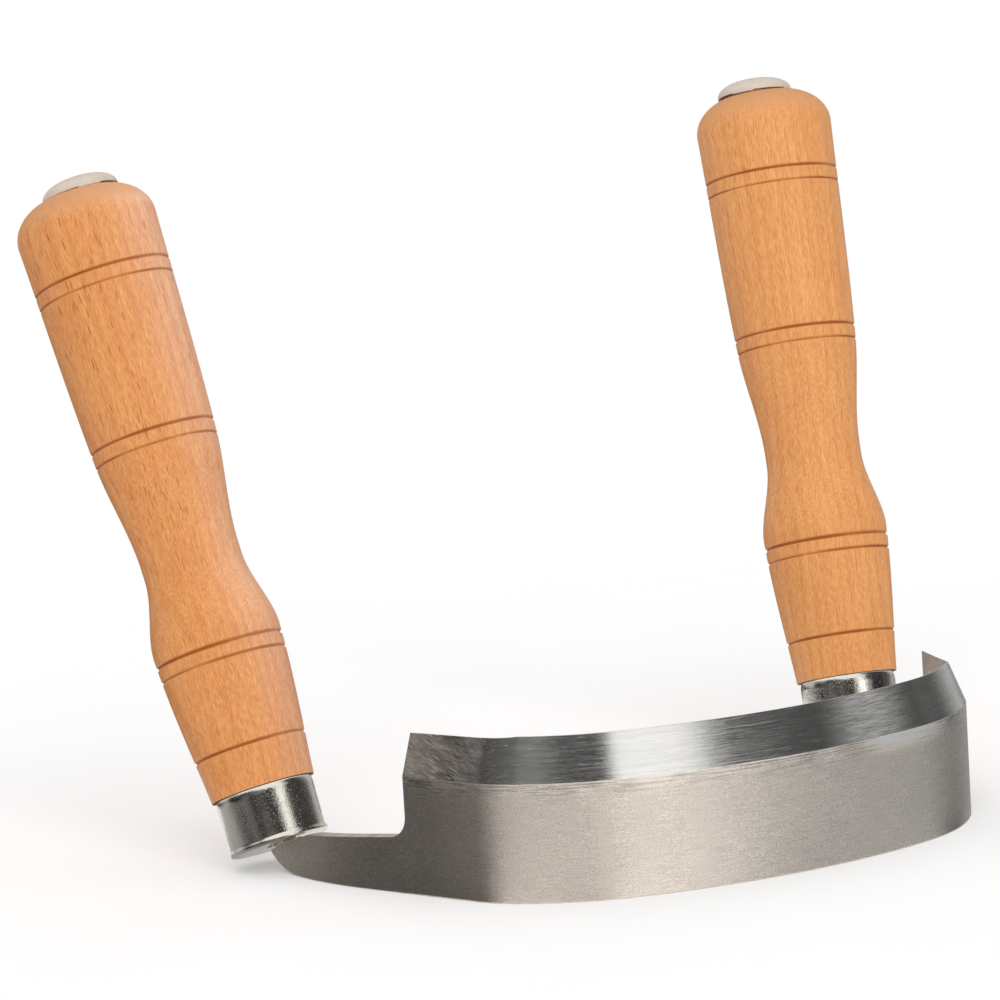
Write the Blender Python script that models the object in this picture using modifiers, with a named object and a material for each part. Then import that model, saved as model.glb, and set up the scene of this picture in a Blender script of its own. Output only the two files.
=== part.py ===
"""Inshave: a bent drawknife for hollow work, in metres, standing on the back of its blade.

X runs from the left handle to the right one, Y from the front of the blade to the handles, and Z up
toward the cutting edge. The origin is the middle of the blade's back edge.
"""

import math

import bmesh
import bpy
from mathutils import Matrix, Vector

OBJECT_NAME = "inshave"
CLEARANCE = 0.0003

# Plan of the blade's outer face, from the middle outward: three arcs and a straight end.
MIDDLE_RADIUS = 0.125
MIDDLE_BEND = math.radians(16.9)
SWEEP_RADIUS = 0.0447
SWEEP_BEND = math.radians(35.4)
CORNER_RADIUS = 0.009
CORNER_BEND = math.radians(18.1)
END_LENGTH = 0.0195

# Section of the blade, and how far the cutting edge has been ground down at its two ends.
BLADE_THICKNESS = 0.0035
BEVEL_HEIGHT = 0.0244
BEVEL_RISE = 0.0091
EDGE_LAND = 0.0002
BACK_CHAMFER = 0.0003
LEFT_EDGE_DROP = 0.0007
RIGHT_EDGE_DROP = 0.0017
EDGE_DROP_POWER = 0.5
EDGE_DROP_LEAD = 0.003

# Tangs: flat as far as the ferrules, then a spike through each handle with a round pin at its end.
TANG_HEIGHT = 0.0119
TANG_FALL = 0.086
SHOULDER_FILLET = 0.004
TANG_STRAIGHT = 0.012
TANG_LIFT_START = 0.025
TANG_LIFT_POWER = 4
TANG_PAST_AXIS = 0.0010
TANG_TIP_HEIGHT = 0.0006
FERRULE_GAP = 0.0006
SPIKE_ROOT_DEPTH = 0.002
SPIKE_WIDTH = 0.006
SPIKE_ROOT_SHARE = 0.65
SPIKE_TOP_SHARE = 0.7
SPIKE_THICKNESS_SHARE = 0.94
SPIKE_ECCENTRIC = 0.0025
SPIKE_CENTRED_AT = 0.016
PIN_RADIUS = 0.0023
PIN_ROOM = 0.0005

# Where each handle stands: the centre of its ferrule's lower face, then its lean back and splay out.
MOUTH_SPREAD = 0.14575
MOUTH_SETBACK = 0.08175
LEFT_MOUTH_HEIGHT = 0.0051
RIGHT_MOUTH_HEIGHT = 0.0075
LEFT_LEAN = math.radians(20.7)
RIGHT_LEAN = math.radians(14.9)
LEFT_SPLAY = math.radians(4.55)
RIGHT_SPLAY = math.radians(3.1)
CAP_INSET = 0.0011
LEFT_CAP_TURN = math.radians(-11)
RIGHT_CAP_TURN = math.radians(38)

# Ferrule.
FERRULE_LENGTH = 0.0118
FERRULE_RADIUS = 0.0105
FERRULE_TAPER = 0.0002
FERRULE_WALL = 0.0009
FERRULE_INNER_ROUND = 0.0007
FERRULE_TOP_ROUND = 0.0004

# Turned handle, from the ferrule upward: lengths between its widest and narrowest places.
WOOD_PROUD = 0.0006
FOOT_SLOPE = 0.085
FOOT_LENGTH = 0.0324
BULGE_RADIUS = 0.01365
BULGE_SLOPE_BELOW = 0.03
BULGE_SLOPE_ABOVE = 0.11
BULGE_ROUND = 0.0015
BULGE_TO_NECK = 0.0178
NECK_RADIUS = 0.0106
NECK_LENGTH = 0.0025
NECK_TO_WAIST = 0.0251
WAIST_RADIUS = 0.0133
WAIST_SLOPE = 0.06
WAIST_TO_CROWN = 0.0489
CROWN_RADIUS = 0.0151
CROWN_SLOPE = 0.036
CROWN_ARC_OFFSET = 0.005
CROWN_ARC_RISE = 0.008
BORE_CONE = 0.005

# Grooves: three pairs and a single one.
GROOVE_ABOVE_FERRULE = 0.0093
GROOVES_BELOW_BULGE = 0.0036
GROOVES_ABOVE_WAIST = 0.0007
GROOVES_BELOW_CROWN = 0.0126
GROOVE_PITCH = 0.0031
GROOVE_WIDTH = 0.0011
GROOVE_DEPTH = 0.00045

# End cap and the toothed ring inside it.
CAP_RADIUS = 0.00826
CAP_HEIGHT = 0.0037
CAP_WALL = 0.0007
CAP_SEAT_MARGIN = 0.0001
CAP_TABS = 4
CAP_NOTCH_HEIGHT = 0.00055
CAP_NOTCH_SHARE = 0.7
RING_THICKNESS = 0.0005
RING_TEETH = 6
RING_SLOT_WIDTH = 0.0009
RING_SLOT_SHARE = 0.5
RING_CONE = 0.0006

TURNED_STEPS = 40
SMALL_STEPS = 36

# Sizes that follow from those above.
EDGE_HEIGHT = BEVEL_HEIGHT + BEVEL_RISE
SPIKE_THICKNESS = BLADE_THICKNESS * SPIKE_THICKNESS_SHARE
SPIKE_ROOT_WIDTH = SPIKE_WIDTH * SPIKE_ROOT_SHARE
SPIKE_TOP_WIDTH = SPIKE_WIDTH * SPIKE_TOP_SHARE
ROOT_BORE_RADIUS = math.hypot(SPIKE_ECCENTRIC + SPIKE_WIDTH / 2, SPIKE_THICKNESS / 2) + 2 * CLEARANCE
SPIKE_TOP_REACH = math.hypot(SPIKE_TOP_WIDTH / 2, SPIKE_THICKNESS / 2) + CAP_INSET
SPIKE_REACH = max(math.hypot(SPIKE_WIDTH / 2, SPIKE_THICKNESS / 2), SPIKE_TOP_REACH, PIN_RADIUS + CAP_INSET)
BORE_RADIUS = SPIKE_REACH + CLEARANCE
FERRULE_FOOT_RADIUS = FERRULE_RADIUS - FERRULE_TAPER
FERRULE_CORNER = FERRULE_WALL + FERRULE_INNER_ROUND
FOOT_RADIUS = FERRULE_RADIUS + WOOD_PROUD
FOOT_HEIGHT = FERRULE_LENGTH + CLEARANCE
BULGE_HEIGHT = FOOT_HEIGHT + FOOT_LENGTH
NECK_HEIGHT = BULGE_HEIGHT + BULGE_TO_NECK
WAIST_HEIGHT = NECK_HEIGHT + NECK_TO_WAIST
CROWN_HEIGHT = WAIST_HEIGHT + WAIST_TO_CROWN
CROWN_TOP_RADIUS = CAP_RADIUS + CAP_SEAT_MARGIN
RING_RADIUS = CAP_RADIUS - CAP_WALL - CLEARANCE
RING_HOLE_RADIUS = PIN_RADIUS + CLEARANCE
RING_SLOT_REACH = RING_HOLE_RADIUS + RING_SLOT_SHARE * (RING_RADIUS - RING_HOLE_RADIUS)


def clear_scene():
    for obj in list(bpy.data.objects):
        bpy.data.objects.remove(obj, do_unlink=True)


def new_collection(name, hidden):
    collection = bpy.data.collections.new(name)
    bpy.context.scene.collection.children.link(collection)
    collection.hide_render = hidden
    return collection


def new_material(name, colour, roughness, metallic):
    material = bpy.data.materials.new(name)
    material.use_nodes = True
    shader = material.node_tree.nodes["Principled BSDF"]
    shader.inputs["Base Color"].default_value = (*colour, 1.0)
    shader.inputs["Roughness"].default_value = roughness
    shader.inputs["Metallic"].default_value = metallic
    return material


def new_object(name, mesh, collection, matrix=None, material=None):
    obj = bpy.data.objects.new(name, mesh)
    collection.objects.link(obj)
    if matrix is not None:
        obj.matrix_world = matrix
    if material is not None:
        mesh.materials.append(material)
    return obj


def mesh_from_bmesh(name, bm):
    bmesh.ops.recalc_face_normals(bm, faces=bm.faces)
    mesh = bpy.data.meshes.new(name)
    bm.to_mesh(mesh)
    bm.free()
    return mesh


def turned(name, profile, collection, matrix, material, steps, closed):
    """A profile in the local XZ plane, outer side from top to bottom, turned round the local Z axis."""
    mesh = bpy.data.meshes.new(name)
    edges = [(i, i + 1) for i in range(len(profile) - 1)]
    if closed:
        edges.append((len(profile) - 1, 0))
    mesh.from_pydata([(r, 0.0, z) for r, z in profile], edges, [])
    obj = new_object(name, mesh, collection, matrix, material)
    screw = obj.modifiers.new("turn", "SCREW")
    screw.angle = math.tau
    screw.steps = steps
    screw.render_steps = steps
    screw.use_merge_vertices = True
    screw.merge_threshold = 0.00001
    screw.use_smooth_shade = True
    return obj


def boolean(obj, tool, operation):
    modifier = obj.modifiers.new(tool.name, "BOOLEAN")
    modifier.operation = operation
    modifier.solver = "EXACT"
    modifier.object = tool


def as_tool(obj):
    obj.hide_render = True
    obj.display_type = "WIRE"
    return obj


def hermite(start, end, start_slope, end_slope, count):
    """Points (radius, height) from start to end, leaving out the start."""
    (r0, z0), (r1, z1) = start, end
    span = z1 - z0
    points = []
    for i in range(1, count + 1):
        t = i / count
        blend = 3 * t * t - 2 * t ** 3
        radius = r0 + (r1 - r0) * blend
        radius += span * (start_slope * (t ** 3 - 2 * t * t + t) + end_slope * (t ** 3 - t * t))
        points.append((radius, z0 + span * t))
    return points


class Side:
    """Where one handle stands, and the frame of its axis."""

    def __init__(self, name, sign, mouth_height, lean, splay, edge_drop, cap_turn):
        self.name = name
        self.sign = sign
        self.edge_drop = edge_drop
        self.mouth = Vector((sign * MOUTH_SPREAD / 2, MOUTH_SETBACK, mouth_height))
        across = sign * math.sin(splay)
        back = math.cos(splay) * math.sin(lean)
        up = math.cos(splay) * math.cos(lean)
        self.axis = Vector((across, back, up))
        side_x = (Vector((1, 0, 0)) - self.axis * self.axis.x).normalized()
        side_y = self.axis.cross(side_x)
        self.frame = self.matrix(side_x, side_y, self.mouth)
        self.inward = -side_x * sign
        cap_foot = self.mouth + self.inward * CAP_INSET
        self.cap_frame = self.matrix(side_x, side_y, cap_foot) @ Matrix.Rotation(cap_turn, 4, "Z")

    def matrix(self, x_axis, y_axis, origin):
        matrix = Matrix.Identity(4)
        for column, axis in enumerate((x_axis, y_axis, self.axis, origin)):
            for row in range(3):
                matrix[row][column] = axis[row]
        return matrix


def half_plan():
    """(x, y, turn, distance) along the outer face, from the middle to the shoulder on the +X side."""
    rows = [(0.0, -BLADE_THICKNESS / 2, 0.0, 0.0)]
    arcs = (
        (MIDDLE_RADIUS, MIDDLE_BEND, 10),
        (SWEEP_RADIUS, SWEEP_BEND, 12),
        (CORNER_RADIUS, CORNER_BEND, 6),
    )
    for radius, bend, count in arcs:
        x, y, first, run = rows[-1]
        for i in range(1, count + 1):
            turn = first + bend * i / count
            over = x + radius * (math.sin(turn) - math.sin(first))
            back = y + radius * (math.cos(first) - math.cos(turn))
            rows.append((over, back, turn, run + radius * (turn - first)))
    x, y, turn, run = rows[-1]
    for i in range(1, 7):
        more = END_LENGTH * i / 6
        rows.append((x + more * math.cos(turn), y + more * math.sin(turn), turn, run + more))
    return rows


def tang_stations(reach):
    """Distances past the shoulder at which the tang gets a section: close together round the fillet."""
    stations = [SHOULDER_FILLET * (1 - math.cos(i * math.pi / 12)) for i in range(1, 7)]
    rest = 20
    stations += [SHOULDER_FILLET + (reach - SHOULDER_FILLET) * i / rest for i in range(1, rest + 1)]
    return stations


class BladeLoft:
    """The band, shoulders and flat tangs as one loft: its sections change shape along the way."""

    def __init__(self):
        self.bm = bmesh.new()

    def ring(self, outer, inward, heights):
        """Vertices of one section, each given by its distance inward from the outer face and its height."""
        corners = []
        for across, z in heights:
            point = outer + inward * across
            corners.append(self.bm.verts.new((point.x, point.y, z)))
        return corners

    def skin(self, first, second):
        for i in range(len(first)):
            j = (i + 1) % len(first)
            self.bm.faces.new((first[i], first[j], second[j], second[i]))

    def band_section(self, outer, inward, edge_height, with_tang=None):
        inner = BLADE_THICKNESS
        chamfer = BACK_CHAMFER
        heights = [(chamfer, 0.0), (0.0, chamfer)]
        if with_tang is not None:
            heights.append((0.0, with_tang))
        heights += [(0.0, BEVEL_HEIGHT), (inner - EDGE_LAND, edge_height), (inner, edge_height)]
        if with_tang is not None:
            heights.append((inner, with_tang))
        heights += [(inner, chamfer), (inner - chamfer, 0.0)]
        return self.ring(outer, inward, heights)

    def tang_section(self, outer, inward, low, high):
        inner = BLADE_THICKNESS
        chamfer = BACK_CHAMFER
        heights = [(chamfer, low), (0.0, low + chamfer), (0.0, high)]
        heights += [(inner, high), (inner, low + chamfer), (inner - chamfer, low)]
        return self.ring(outer, inward, heights)

    def shoulder(self, before, at):
        """Joins the last band section to the shoulder section, which holds the tang's two upper corners."""
        a, b, u, c, d, e, v, f, g = at
        p = before
        self.bm.faces.new((p[0], p[1], b, a))
        self.bm.faces.new((p[1], p[2], c, u, b))
        self.bm.faces.new((p[2], p[3], d, c))
        self.bm.faces.new((p[3], p[4], e, d))
        self.bm.faces.new((p[4], p[5], f, v, e))
        self.bm.faces.new((p[5], p[6], g, f))
        self.bm.faces.new((p[6], p[0], a, g))
        self.bm.faces.new((u, c, d, e, v))
        return [a, b, u, v, f, g]


def tang_path(side, start, turn):
    """A function giving the tang's outer point and inward direction at a distance past the shoulder."""
    along = Vector((side.sign * math.cos(turn), math.sin(turn)))
    inward = Vector((-side.sign * math.sin(turn), math.cos(turn)))
    middle = start + inward * BLADE_THICKNESS / 2
    to_mouth = Vector((side.mouth.x, side.mouth.y)) - middle
    reach = to_mouth.dot(along)
    bend = to_mouth.dot(inward) / (reach - TANG_STRAIGHT) ** 2

    def at(distance):
        past = max(0.0, distance - TANG_STRAIGHT)
        point = middle + along * distance + inward * bend * past * past
        heading = (along + inward * 2 * bend * past).normalized()
        across = (inward - heading * inward.dot(heading)).normalized()
        return point - across * BLADE_THICKNESS / 2, across, heading

    return at, reach


def add_tang(loft, side, ring, start, turn):
    at, reach = tang_path(side, start, turn)
    heading = at(reach)[2]
    lean = side.axis.xy.dot(heading) / side.axis.z
    gap = FERRULE_GAP * math.hypot(1, lean)
    tip = reach + TANG_PAST_AXIS
    tip_low = side.mouth.z - TANG_PAST_AXIS * lean - gap - TANG_TIP_HEIGHT
    for distance in tang_stations(tip):
        outer, across, _ = at(distance)
        rise = max(0.0, (distance - TANG_LIFT_START) / (tip - TANG_LIFT_START)) ** TANG_LIFT_POWER
        high = TANG_HEIGHT - TANG_FALL * distance
        if distance < SHOULDER_FILLET:
            back = SHOULDER_FILLET - distance
            high += SHOULDER_FILLET - math.sqrt(SHOULDER_FILLET ** 2 - back * back)
        high = min(high, side.mouth.z + (reach - distance) * lean - gap)
        section = loft.tang_section(outer, across, tip_low * rise, high)
        loft.skin(ring, section)
        ring = section
    loft.bm.faces.new(ring)


def edge_height(side, distance, shoulder):
    """The cutting edge, falling a little from each corner to the shoulder."""
    worn = EDGE_DROP_LEAD + CORNER_RADIUS * CORNER_BEND + END_LENGTH
    share = max(0.0, 1 - (shoulder - distance) / worn)
    return EDGE_HEIGHT - side.edge_drop * share ** EDGE_DROP_POWER


def blade_mesh(sides):
    loft = BladeLoft()
    rows = half_plan()
    shoulder = rows[-1][3]
    middle = loft.band_section(Vector(rows[0][:2]), Vector((0, 1)), EDGE_HEIGHT)
    for side in sides:
        ring = middle
        for x, y, turn, distance in rows[1:]:
            outer = Vector((side.sign * x, y))
            inward = Vector((-side.sign * math.sin(turn), math.cos(turn)))
            top = edge_height(side, distance, shoulder)
            if distance < shoulder:
                section = loft.band_section(outer, inward, top)
                loft.skin(ring, section)
                ring = section
                continue
            fillet_top = TANG_HEIGHT + SHOULDER_FILLET
            section = loft.band_section(outer, inward, top, fillet_top)
            ring = loft.shoulder(ring, section)
            add_tang(loft, side, ring, outer, turn)
    return mesh_from_bmesh("blade", loft.bm)


def spike_mesh(side):
    """The part of the tang inside the handle: a tapering bar that comes onto the handle's axis."""
    rows = half_plan()
    x, y, turn, _ = rows[-1]
    at, reach = tang_path(side, Vector((side.sign * x, y)), turn)
    heading = at(reach)[2].to_3d()
    outward = (heading - side.axis * heading.dot(side.axis)).normalized()
    across = side.axis.cross(outward)
    top = wood_top() - CAP_RADIUS / 2
    shift = side.inward * CAP_INSET
    root_offset = -SPIKE_ECCENTRIC - (SPIKE_WIDTH - SPIKE_ROOT_WIDTH) / 2
    stations = (
        (-SPIKE_ROOT_DEPTH, root_offset, SPIKE_ROOT_WIDTH, SPIKE_THICKNESS * 0.8, 0.0),
        (FERRULE_WALL, -SPIKE_ECCENTRIC, SPIKE_WIDTH, SPIKE_THICKNESS, 0.0),
        (SPIKE_CENTRED_AT, 0.0, SPIKE_WIDTH, SPIKE_THICKNESS, 0.0),
        (top, 0.0, SPIKE_TOP_WIDTH, SPIKE_THICKNESS, 1.0),
    )
    bm = bmesh.new()
    rings = []
    for height, offset, width, thick, inset in stations:
        centre = side.mouth + side.axis * height + outward * offset + shift * inset
        ring = []
        for i, j in ((-1, -1), (1, -1), (1, 1), (-1, 1)):
            ring.append(bm.verts.new(centre + outward * i * width / 2 + across * j * thick / 2))
        rings.append(ring)
    for lower, upper in zip(rings, rings[1:]):
        for i in range(4):
            j = (i + 1) % 4
            bm.faces.new((lower[i], lower[j], upper[j], upper[i]))
    bm.faces.new(rings[0])
    bm.faces.new(rings[-1])
    return mesh_from_bmesh(side.name + "_spike_tool", bm)


def wood_top():
    """Height of the flat under the cap, where the rounded crown reaches it."""
    share = (CROWN_TOP_RADIUS - CROWN_ARC_OFFSET) / (CROWN_RADIUS - CROWN_ARC_OFFSET)
    return CROWN_HEIGHT + CROWN_ARC_RISE * math.sqrt(1 - share * share)


def crown():
    """The rounded upper end of the wood, from under the cap down to the widest place."""
    start = math.asin((CROWN_TOP_RADIUS - CROWN_ARC_OFFSET) / (CROWN_RADIUS - CROWN_ARC_OFFSET))
    points = []
    for i in range(10):
        angle = start + (math.pi / 2 - start) * i / 9
        radius = CROWN_ARC_OFFSET + (CROWN_RADIUS - CROWN_ARC_OFFSET) * math.sin(angle)
        points.append((radius, CROWN_HEIGHT + CROWN_ARC_RISE * math.cos(angle)))
    return points


def handle_outline():
    """The turned outline without its grooves, from the crown down to the ferrule."""
    foot = (FOOT_RADIUS, FOOT_HEIGHT)
    bulge_low = (BULGE_RADIUS, BULGE_HEIGHT - BULGE_ROUND)
    bulge_high = (BULGE_RADIUS, BULGE_HEIGHT + BULGE_ROUND)
    points = crown()
    points += hermite(points[-1], (WAIST_RADIUS, WAIST_HEIGHT), CROWN_SLOPE, WAIST_SLOPE, 5)
    points += hermite(points[-1], (NECK_RADIUS, NECK_HEIGHT + NECK_LENGTH / 2), WAIST_SLOPE, 0.0, 8)
    points += hermite(points[-1], (NECK_RADIUS, NECK_HEIGHT - NECK_LENGTH / 2), 0.0, 0.0, 1)
    points += hermite(points[-1], bulge_high, 0.0, -BULGE_SLOPE_ABOVE, 8)
    points += hermite(points[-1], bulge_low, -BULGE_SLOPE_ABOVE, BULGE_SLOPE_BELOW, 3)
    points += hermite(points[-1], foot, BULGE_SLOPE_BELOW, FOOT_SLOPE, 5)
    return points


def radius_at(points, height):
    for (r0, z0), (r1, z1) in zip(points, points[1:]):
        if z1 <= height <= z0:
            return r1 + (r0 - r1) * (height - z1) / (z0 - z1)
    raise ValueError("height outside the outline")


def grooved(points):
    """The outline with a round-bottomed groove cut in at each place."""
    places = [FERRULE_LENGTH + GROOVE_ABOVE_FERRULE]
    pairs = (
        BULGE_HEIGHT - GROOVES_BELOW_BULGE,
        WAIST_HEIGHT + GROOVES_ABOVE_WAIST,
        CROWN_HEIGHT - GROOVES_BELOW_CROWN,
    )
    for middle in pairs:
        places += [middle - GROOVE_PITCH / 2, middle + GROOVE_PITCH / 2]
    half = GROOVE_WIDTH / 2
    kept = [p for p in points if all(abs(p[1] - place) > half * 1.4 for place in places)]
    for place in places:
        for share, depth in ((1.0, 0.0), (0.5, 0.75), (0.0, 1.0), (-0.5, 0.75), (-1.0, 0.0)):
            height = place + share * half
            kept.append((radius_at(points, height) - depth * GROOVE_DEPTH, height))
    return sorted(kept, key=lambda p: -p[1])


def handle_profile():
    top = wood_top()
    spigot = FERRULE_RADIUS - FERRULE_WALL - CLEARANCE
    spigot_foot = spigot - FERRULE_TAPER
    foot = FERRULE_WALL + CLEARANCE
    corner = FERRULE_INNER_ROUND
    outline = handle_outline()
    crown_part = [p for p in outline if p[1] >= CROWN_HEIGHT]
    turned_part = [p for p in outline if p[1] < CROWN_HEIGHT]
    profile = [(BORE_RADIUS, top)] + crown_part + grooved([crown_part[-1]] + turned_part)[1:]
    profile += [(spigot, FOOT_HEIGHT), (spigot_foot, foot + corner), (spigot_foot - corner, foot)]
    profile += [(ROOT_BORE_RADIUS, foot), (ROOT_BORE_RADIUS, SPIKE_CENTRED_AT)]
    profile.append((BORE_RADIUS, SPIKE_CENTRED_AT + BORE_CONE))
    return profile


def ferrule_profile():
    top = FERRULE_LENGTH
    lip = FERRULE_TOP_ROUND
    profile = [(FERRULE_RADIUS - FERRULE_WALL, top), (FERRULE_RADIUS - lip, top)]
    profile.append((FERRULE_RADIUS, top - lip))
    for i in range(6):
        angle = i * math.pi / 10
        radius = FERRULE_FOOT_RADIUS - FERRULE_CORNER * (1 - math.cos(angle))
        profile.append((radius, FERRULE_CORNER * (1 - math.sin(angle))))
    profile += [(ROOT_BORE_RADIUS, 0.0), (ROOT_BORE_RADIUS, FERRULE_WALL)]
    inner = FERRULE_FOOT_RADIUS - FERRULE_WALL
    profile.append((inner - FERRULE_INNER_ROUND, FERRULE_WALL))
    profile.append((inner, FERRULE_WALL + FERRULE_INNER_ROUND))
    return profile


def dome(radius, rise, base, count):
    """Outer side of a dome from its top down to its rim."""
    points = []
    for i in range(count + 1):
        angle = i / count * math.pi / 2
        points.append((radius * math.sin(angle), base + rise * math.cos(angle)))
    return points


def cap_base():
    return wood_top() + CLEARANCE


def cap_profile():
    base = cap_base()
    skirt = base + CAP_NOTCH_HEIGHT
    outer = dome(CAP_RADIUS, CAP_HEIGHT - CAP_NOTCH_HEIGHT, skirt, 8)
    inner = dome(CAP_RADIUS - CAP_WALL, CAP_HEIGHT - CAP_NOTCH_HEIGHT - CAP_WALL, skirt, 6)
    return outer + [(CAP_RADIUS, base), (CAP_RADIUS - CAP_WALL, base)] + inner[::-1]


def notch_mesh(name):
    """Blocks that cut the cap's rim into tabs."""
    bm = bmesh.new()
    base = cap_base()
    half = math.pi / CAP_TABS * CAP_NOTCH_SHARE
    outside = CAP_RADIUS + 2 * CAP_WALL
    inside = CAP_RADIUS - 2 * CAP_WALL
    for i in range(CAP_TABS):
        middle = math.tau * (i + 0.5) / CAP_TABS
        rings = []
        for z in (base - CAP_NOTCH_HEIGHT, base + CAP_NOTCH_HEIGHT):
            corners = [(outside, share * half) for share in (-1, -0.5, 0, 0.5, 1)]
            corners += [(inside, half), (inside, -half)]
            ring = []
            for radius, turn in corners:
                angle = middle + turn
                ring.append(bm.verts.new((radius * math.cos(angle), radius * math.sin(angle), z)))
            rings.append(ring)
        count = len(rings[0])
        for k in range(count):
            m = (k + 1) % count
            bm.faces.new((rings[0][k], rings[0][m], rings[1][m], rings[1][k]))
        bm.faces.new(rings[0])
        bm.faces.new(rings[1])
    return mesh_from_bmesh(name, bm)


def ring_profile():
    base = cap_base()
    thick = RING_THICKNESS
    return [
        (RING_HOLE_RADIUS, base + RING_CONE + thick),
        (RING_SLOT_REACH, base + thick),
        (RING_RADIUS, base + thick),
        (RING_RADIUS, base),
        (RING_SLOT_REACH, base),
        (RING_HOLE_RADIUS, base + RING_CONE),
    ]


def slot_mesh(name):
    """Radial blocks that cut the ring's inner edge into teeth."""
    bm = bmesh.new()
    base = cap_base()
    for i in range(RING_TEETH):
        turn = Matrix.Rotation(math.tau * i / RING_TEETH, 4, "Z")
        made = bmesh.ops.create_cube(bm, size=1.0)["verts"]
        reach = RING_SLOT_REACH - PIN_RADIUS
        scale = Matrix.Diagonal((reach, RING_SLOT_WIDTH, RING_CONE * 6, 1.0))
        move = Matrix.Translation((PIN_RADIUS + reach / 2, 0.0, base))
        bmesh.ops.transform(bm, matrix=turn @ move @ scale, verts=made)
    return mesh_from_bmesh(name, bm)


def pin_mesh(name):
    """The round end of the tang, from inside the wood to just under the cap."""
    bm = bmesh.new()
    top = cap_base() + CAP_HEIGHT - CAP_WALL - PIN_ROOM
    bottom = wood_top() - CAP_RADIUS
    made = bmesh.ops.create_cone(
        bm, cap_ends=True, segments=24, radius1=PIN_RADIUS, radius2=PIN_RADIUS, depth=top - bottom
    )["verts"]
    bmesh.ops.translate(bm, verts=made, vec=(0.0, 0.0, (top + bottom) / 2))
    return mesh_from_bmesh(name, bm)


def main():
    clear_scene()
    parts = new_collection(OBJECT_NAME, False)
    tools = new_collection(OBJECT_NAME + "_cutters", True)
    sides = (
        Side("left", -1, LEFT_MOUTH_HEIGHT, LEFT_LEAN, LEFT_SPLAY, LEFT_EDGE_DROP, LEFT_CAP_TURN),
        Side("right", 1, RIGHT_MOUTH_HEIGHT, RIGHT_LEAN, RIGHT_SPLAY, RIGHT_EDGE_DROP, RIGHT_CAP_TURN),
    )
    steel = new_material("blade_steel", (0.42, 0.40, 0.38), 0.38, 1.0)
    blade = new_object("blade", blade_mesh(sides), parts, None, steel)
    for side in sides:
        name = side.name
        wood = new_material(name + "_beech", (0.62, 0.33, 0.13), 0.5, 0.0)
        nickel = new_material(name + "_nickel", (0.72, 0.70, 0.66), 0.15, 1.0)
        satin = new_material(name + "_cap_metal", (0.62, 0.59, 0.55), 0.4, 1.0)
        spring = new_material(name + "_spring_steel", (0.30, 0.30, 0.31), 0.4, 1.0)
        spike = as_tool(new_object(name + "_spike_tool", spike_mesh(side), tools))
        pin = as_tool(new_object(name + "_pin_tool", pin_mesh(name + "_pin"), tools, side.cap_frame))
        boolean(blade, spike, "UNION")
        boolean(blade, pin, "UNION")
        turned(name + "_handle", handle_profile(), parts, side.frame, wood, TURNED_STEPS, True)
        turned(name + "_ferrule", ferrule_profile(), parts, side.frame, nickel, TURNED_STEPS, True)
        cap = turned(name + "_end_cap", cap_profile(), parts, side.cap_frame, satin, SMALL_STEPS, False)
        notch = as_tool(new_object(name + "_notch_tool", notch_mesh(name), tools, side.cap_frame))
        boolean(cap, notch, "DIFFERENCE")
        ring = turned(name + "_lock_ring", ring_profile(), parts, side.cap_frame, spring, SMALL_STEPS, True)
        slot = as_tool(new_object(name + "_slot_tool", slot_mesh(name), tools, side.cap_frame))
        boolean(ring, slot, "DIFFERENCE")


main()
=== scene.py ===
"""Inshave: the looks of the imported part, laid out as an add-on and run as a script.

Each operator makes one kind of piece from the sizes in its property group, in metres and in the frame of
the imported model: X from the left handle to the right one, Y from the blade to the handles, Z up to the edge.
"""

import math

import bmesh
import bpy
from mathutils import Matrix, Vector


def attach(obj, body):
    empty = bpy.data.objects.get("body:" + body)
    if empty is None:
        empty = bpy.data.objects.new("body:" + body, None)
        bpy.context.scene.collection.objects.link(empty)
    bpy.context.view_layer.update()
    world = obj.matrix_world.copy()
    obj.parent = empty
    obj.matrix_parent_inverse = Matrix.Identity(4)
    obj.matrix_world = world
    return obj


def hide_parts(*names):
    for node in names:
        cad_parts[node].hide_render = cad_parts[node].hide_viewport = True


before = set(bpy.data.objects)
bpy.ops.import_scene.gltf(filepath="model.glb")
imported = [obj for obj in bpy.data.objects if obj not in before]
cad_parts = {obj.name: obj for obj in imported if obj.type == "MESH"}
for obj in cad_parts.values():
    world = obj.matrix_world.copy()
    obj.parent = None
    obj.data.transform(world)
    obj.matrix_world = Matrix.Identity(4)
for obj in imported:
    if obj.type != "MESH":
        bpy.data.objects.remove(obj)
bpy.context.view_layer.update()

bl_info = {
    "name": "Inshave",
    "version": (1, 0, 0),
    "blender": (4, 5, 0),
    "location": "3D View > Sidebar > Inshave",
    "description": "Makes the blade, handles and fittings of an inshave, and a stage to look at it on",
    "category": "Object",
}

GLOSS_COLLECTION = "glossy_wood"
MM = 1000.0
CLEARANCE = 0.0003
WHITE = (1, 1, 1, 1)
BLACK = (0, 0, 0, 1)

# Steps along the blade's three arcs, its straight end, the tang's fillet and the tang.
ARC_STEPS = (48, 48, 20)
END_STEPS = 12
FILLET_STEPS = 12
TANG_STEPS = 56
# Steps round the turned pieces, and along their curves.
TURNED_STEPS = 144
CROWN_STEPS = 24
GROOVE_STEPS = 6
RIM_STEPS = 12
BEAD_STEPS = 8
CAP_OUTER_STEPS = 28
CAP_INNER_STEPS = 20
NOTCH_STEPS = 8
PIN_SIDES = 48
HOLE_SIDES = 72

# Materials of the blade, and the strips of its band and tang sections that have the second and third ones.
GROUND, BEVEL, INNER = 0, 1, 2
BAND_FINISHES = {2: BEVEL, 3: BEVEL, 4: INNER}
TANG_FINISHES = {3: INNER}
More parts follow.
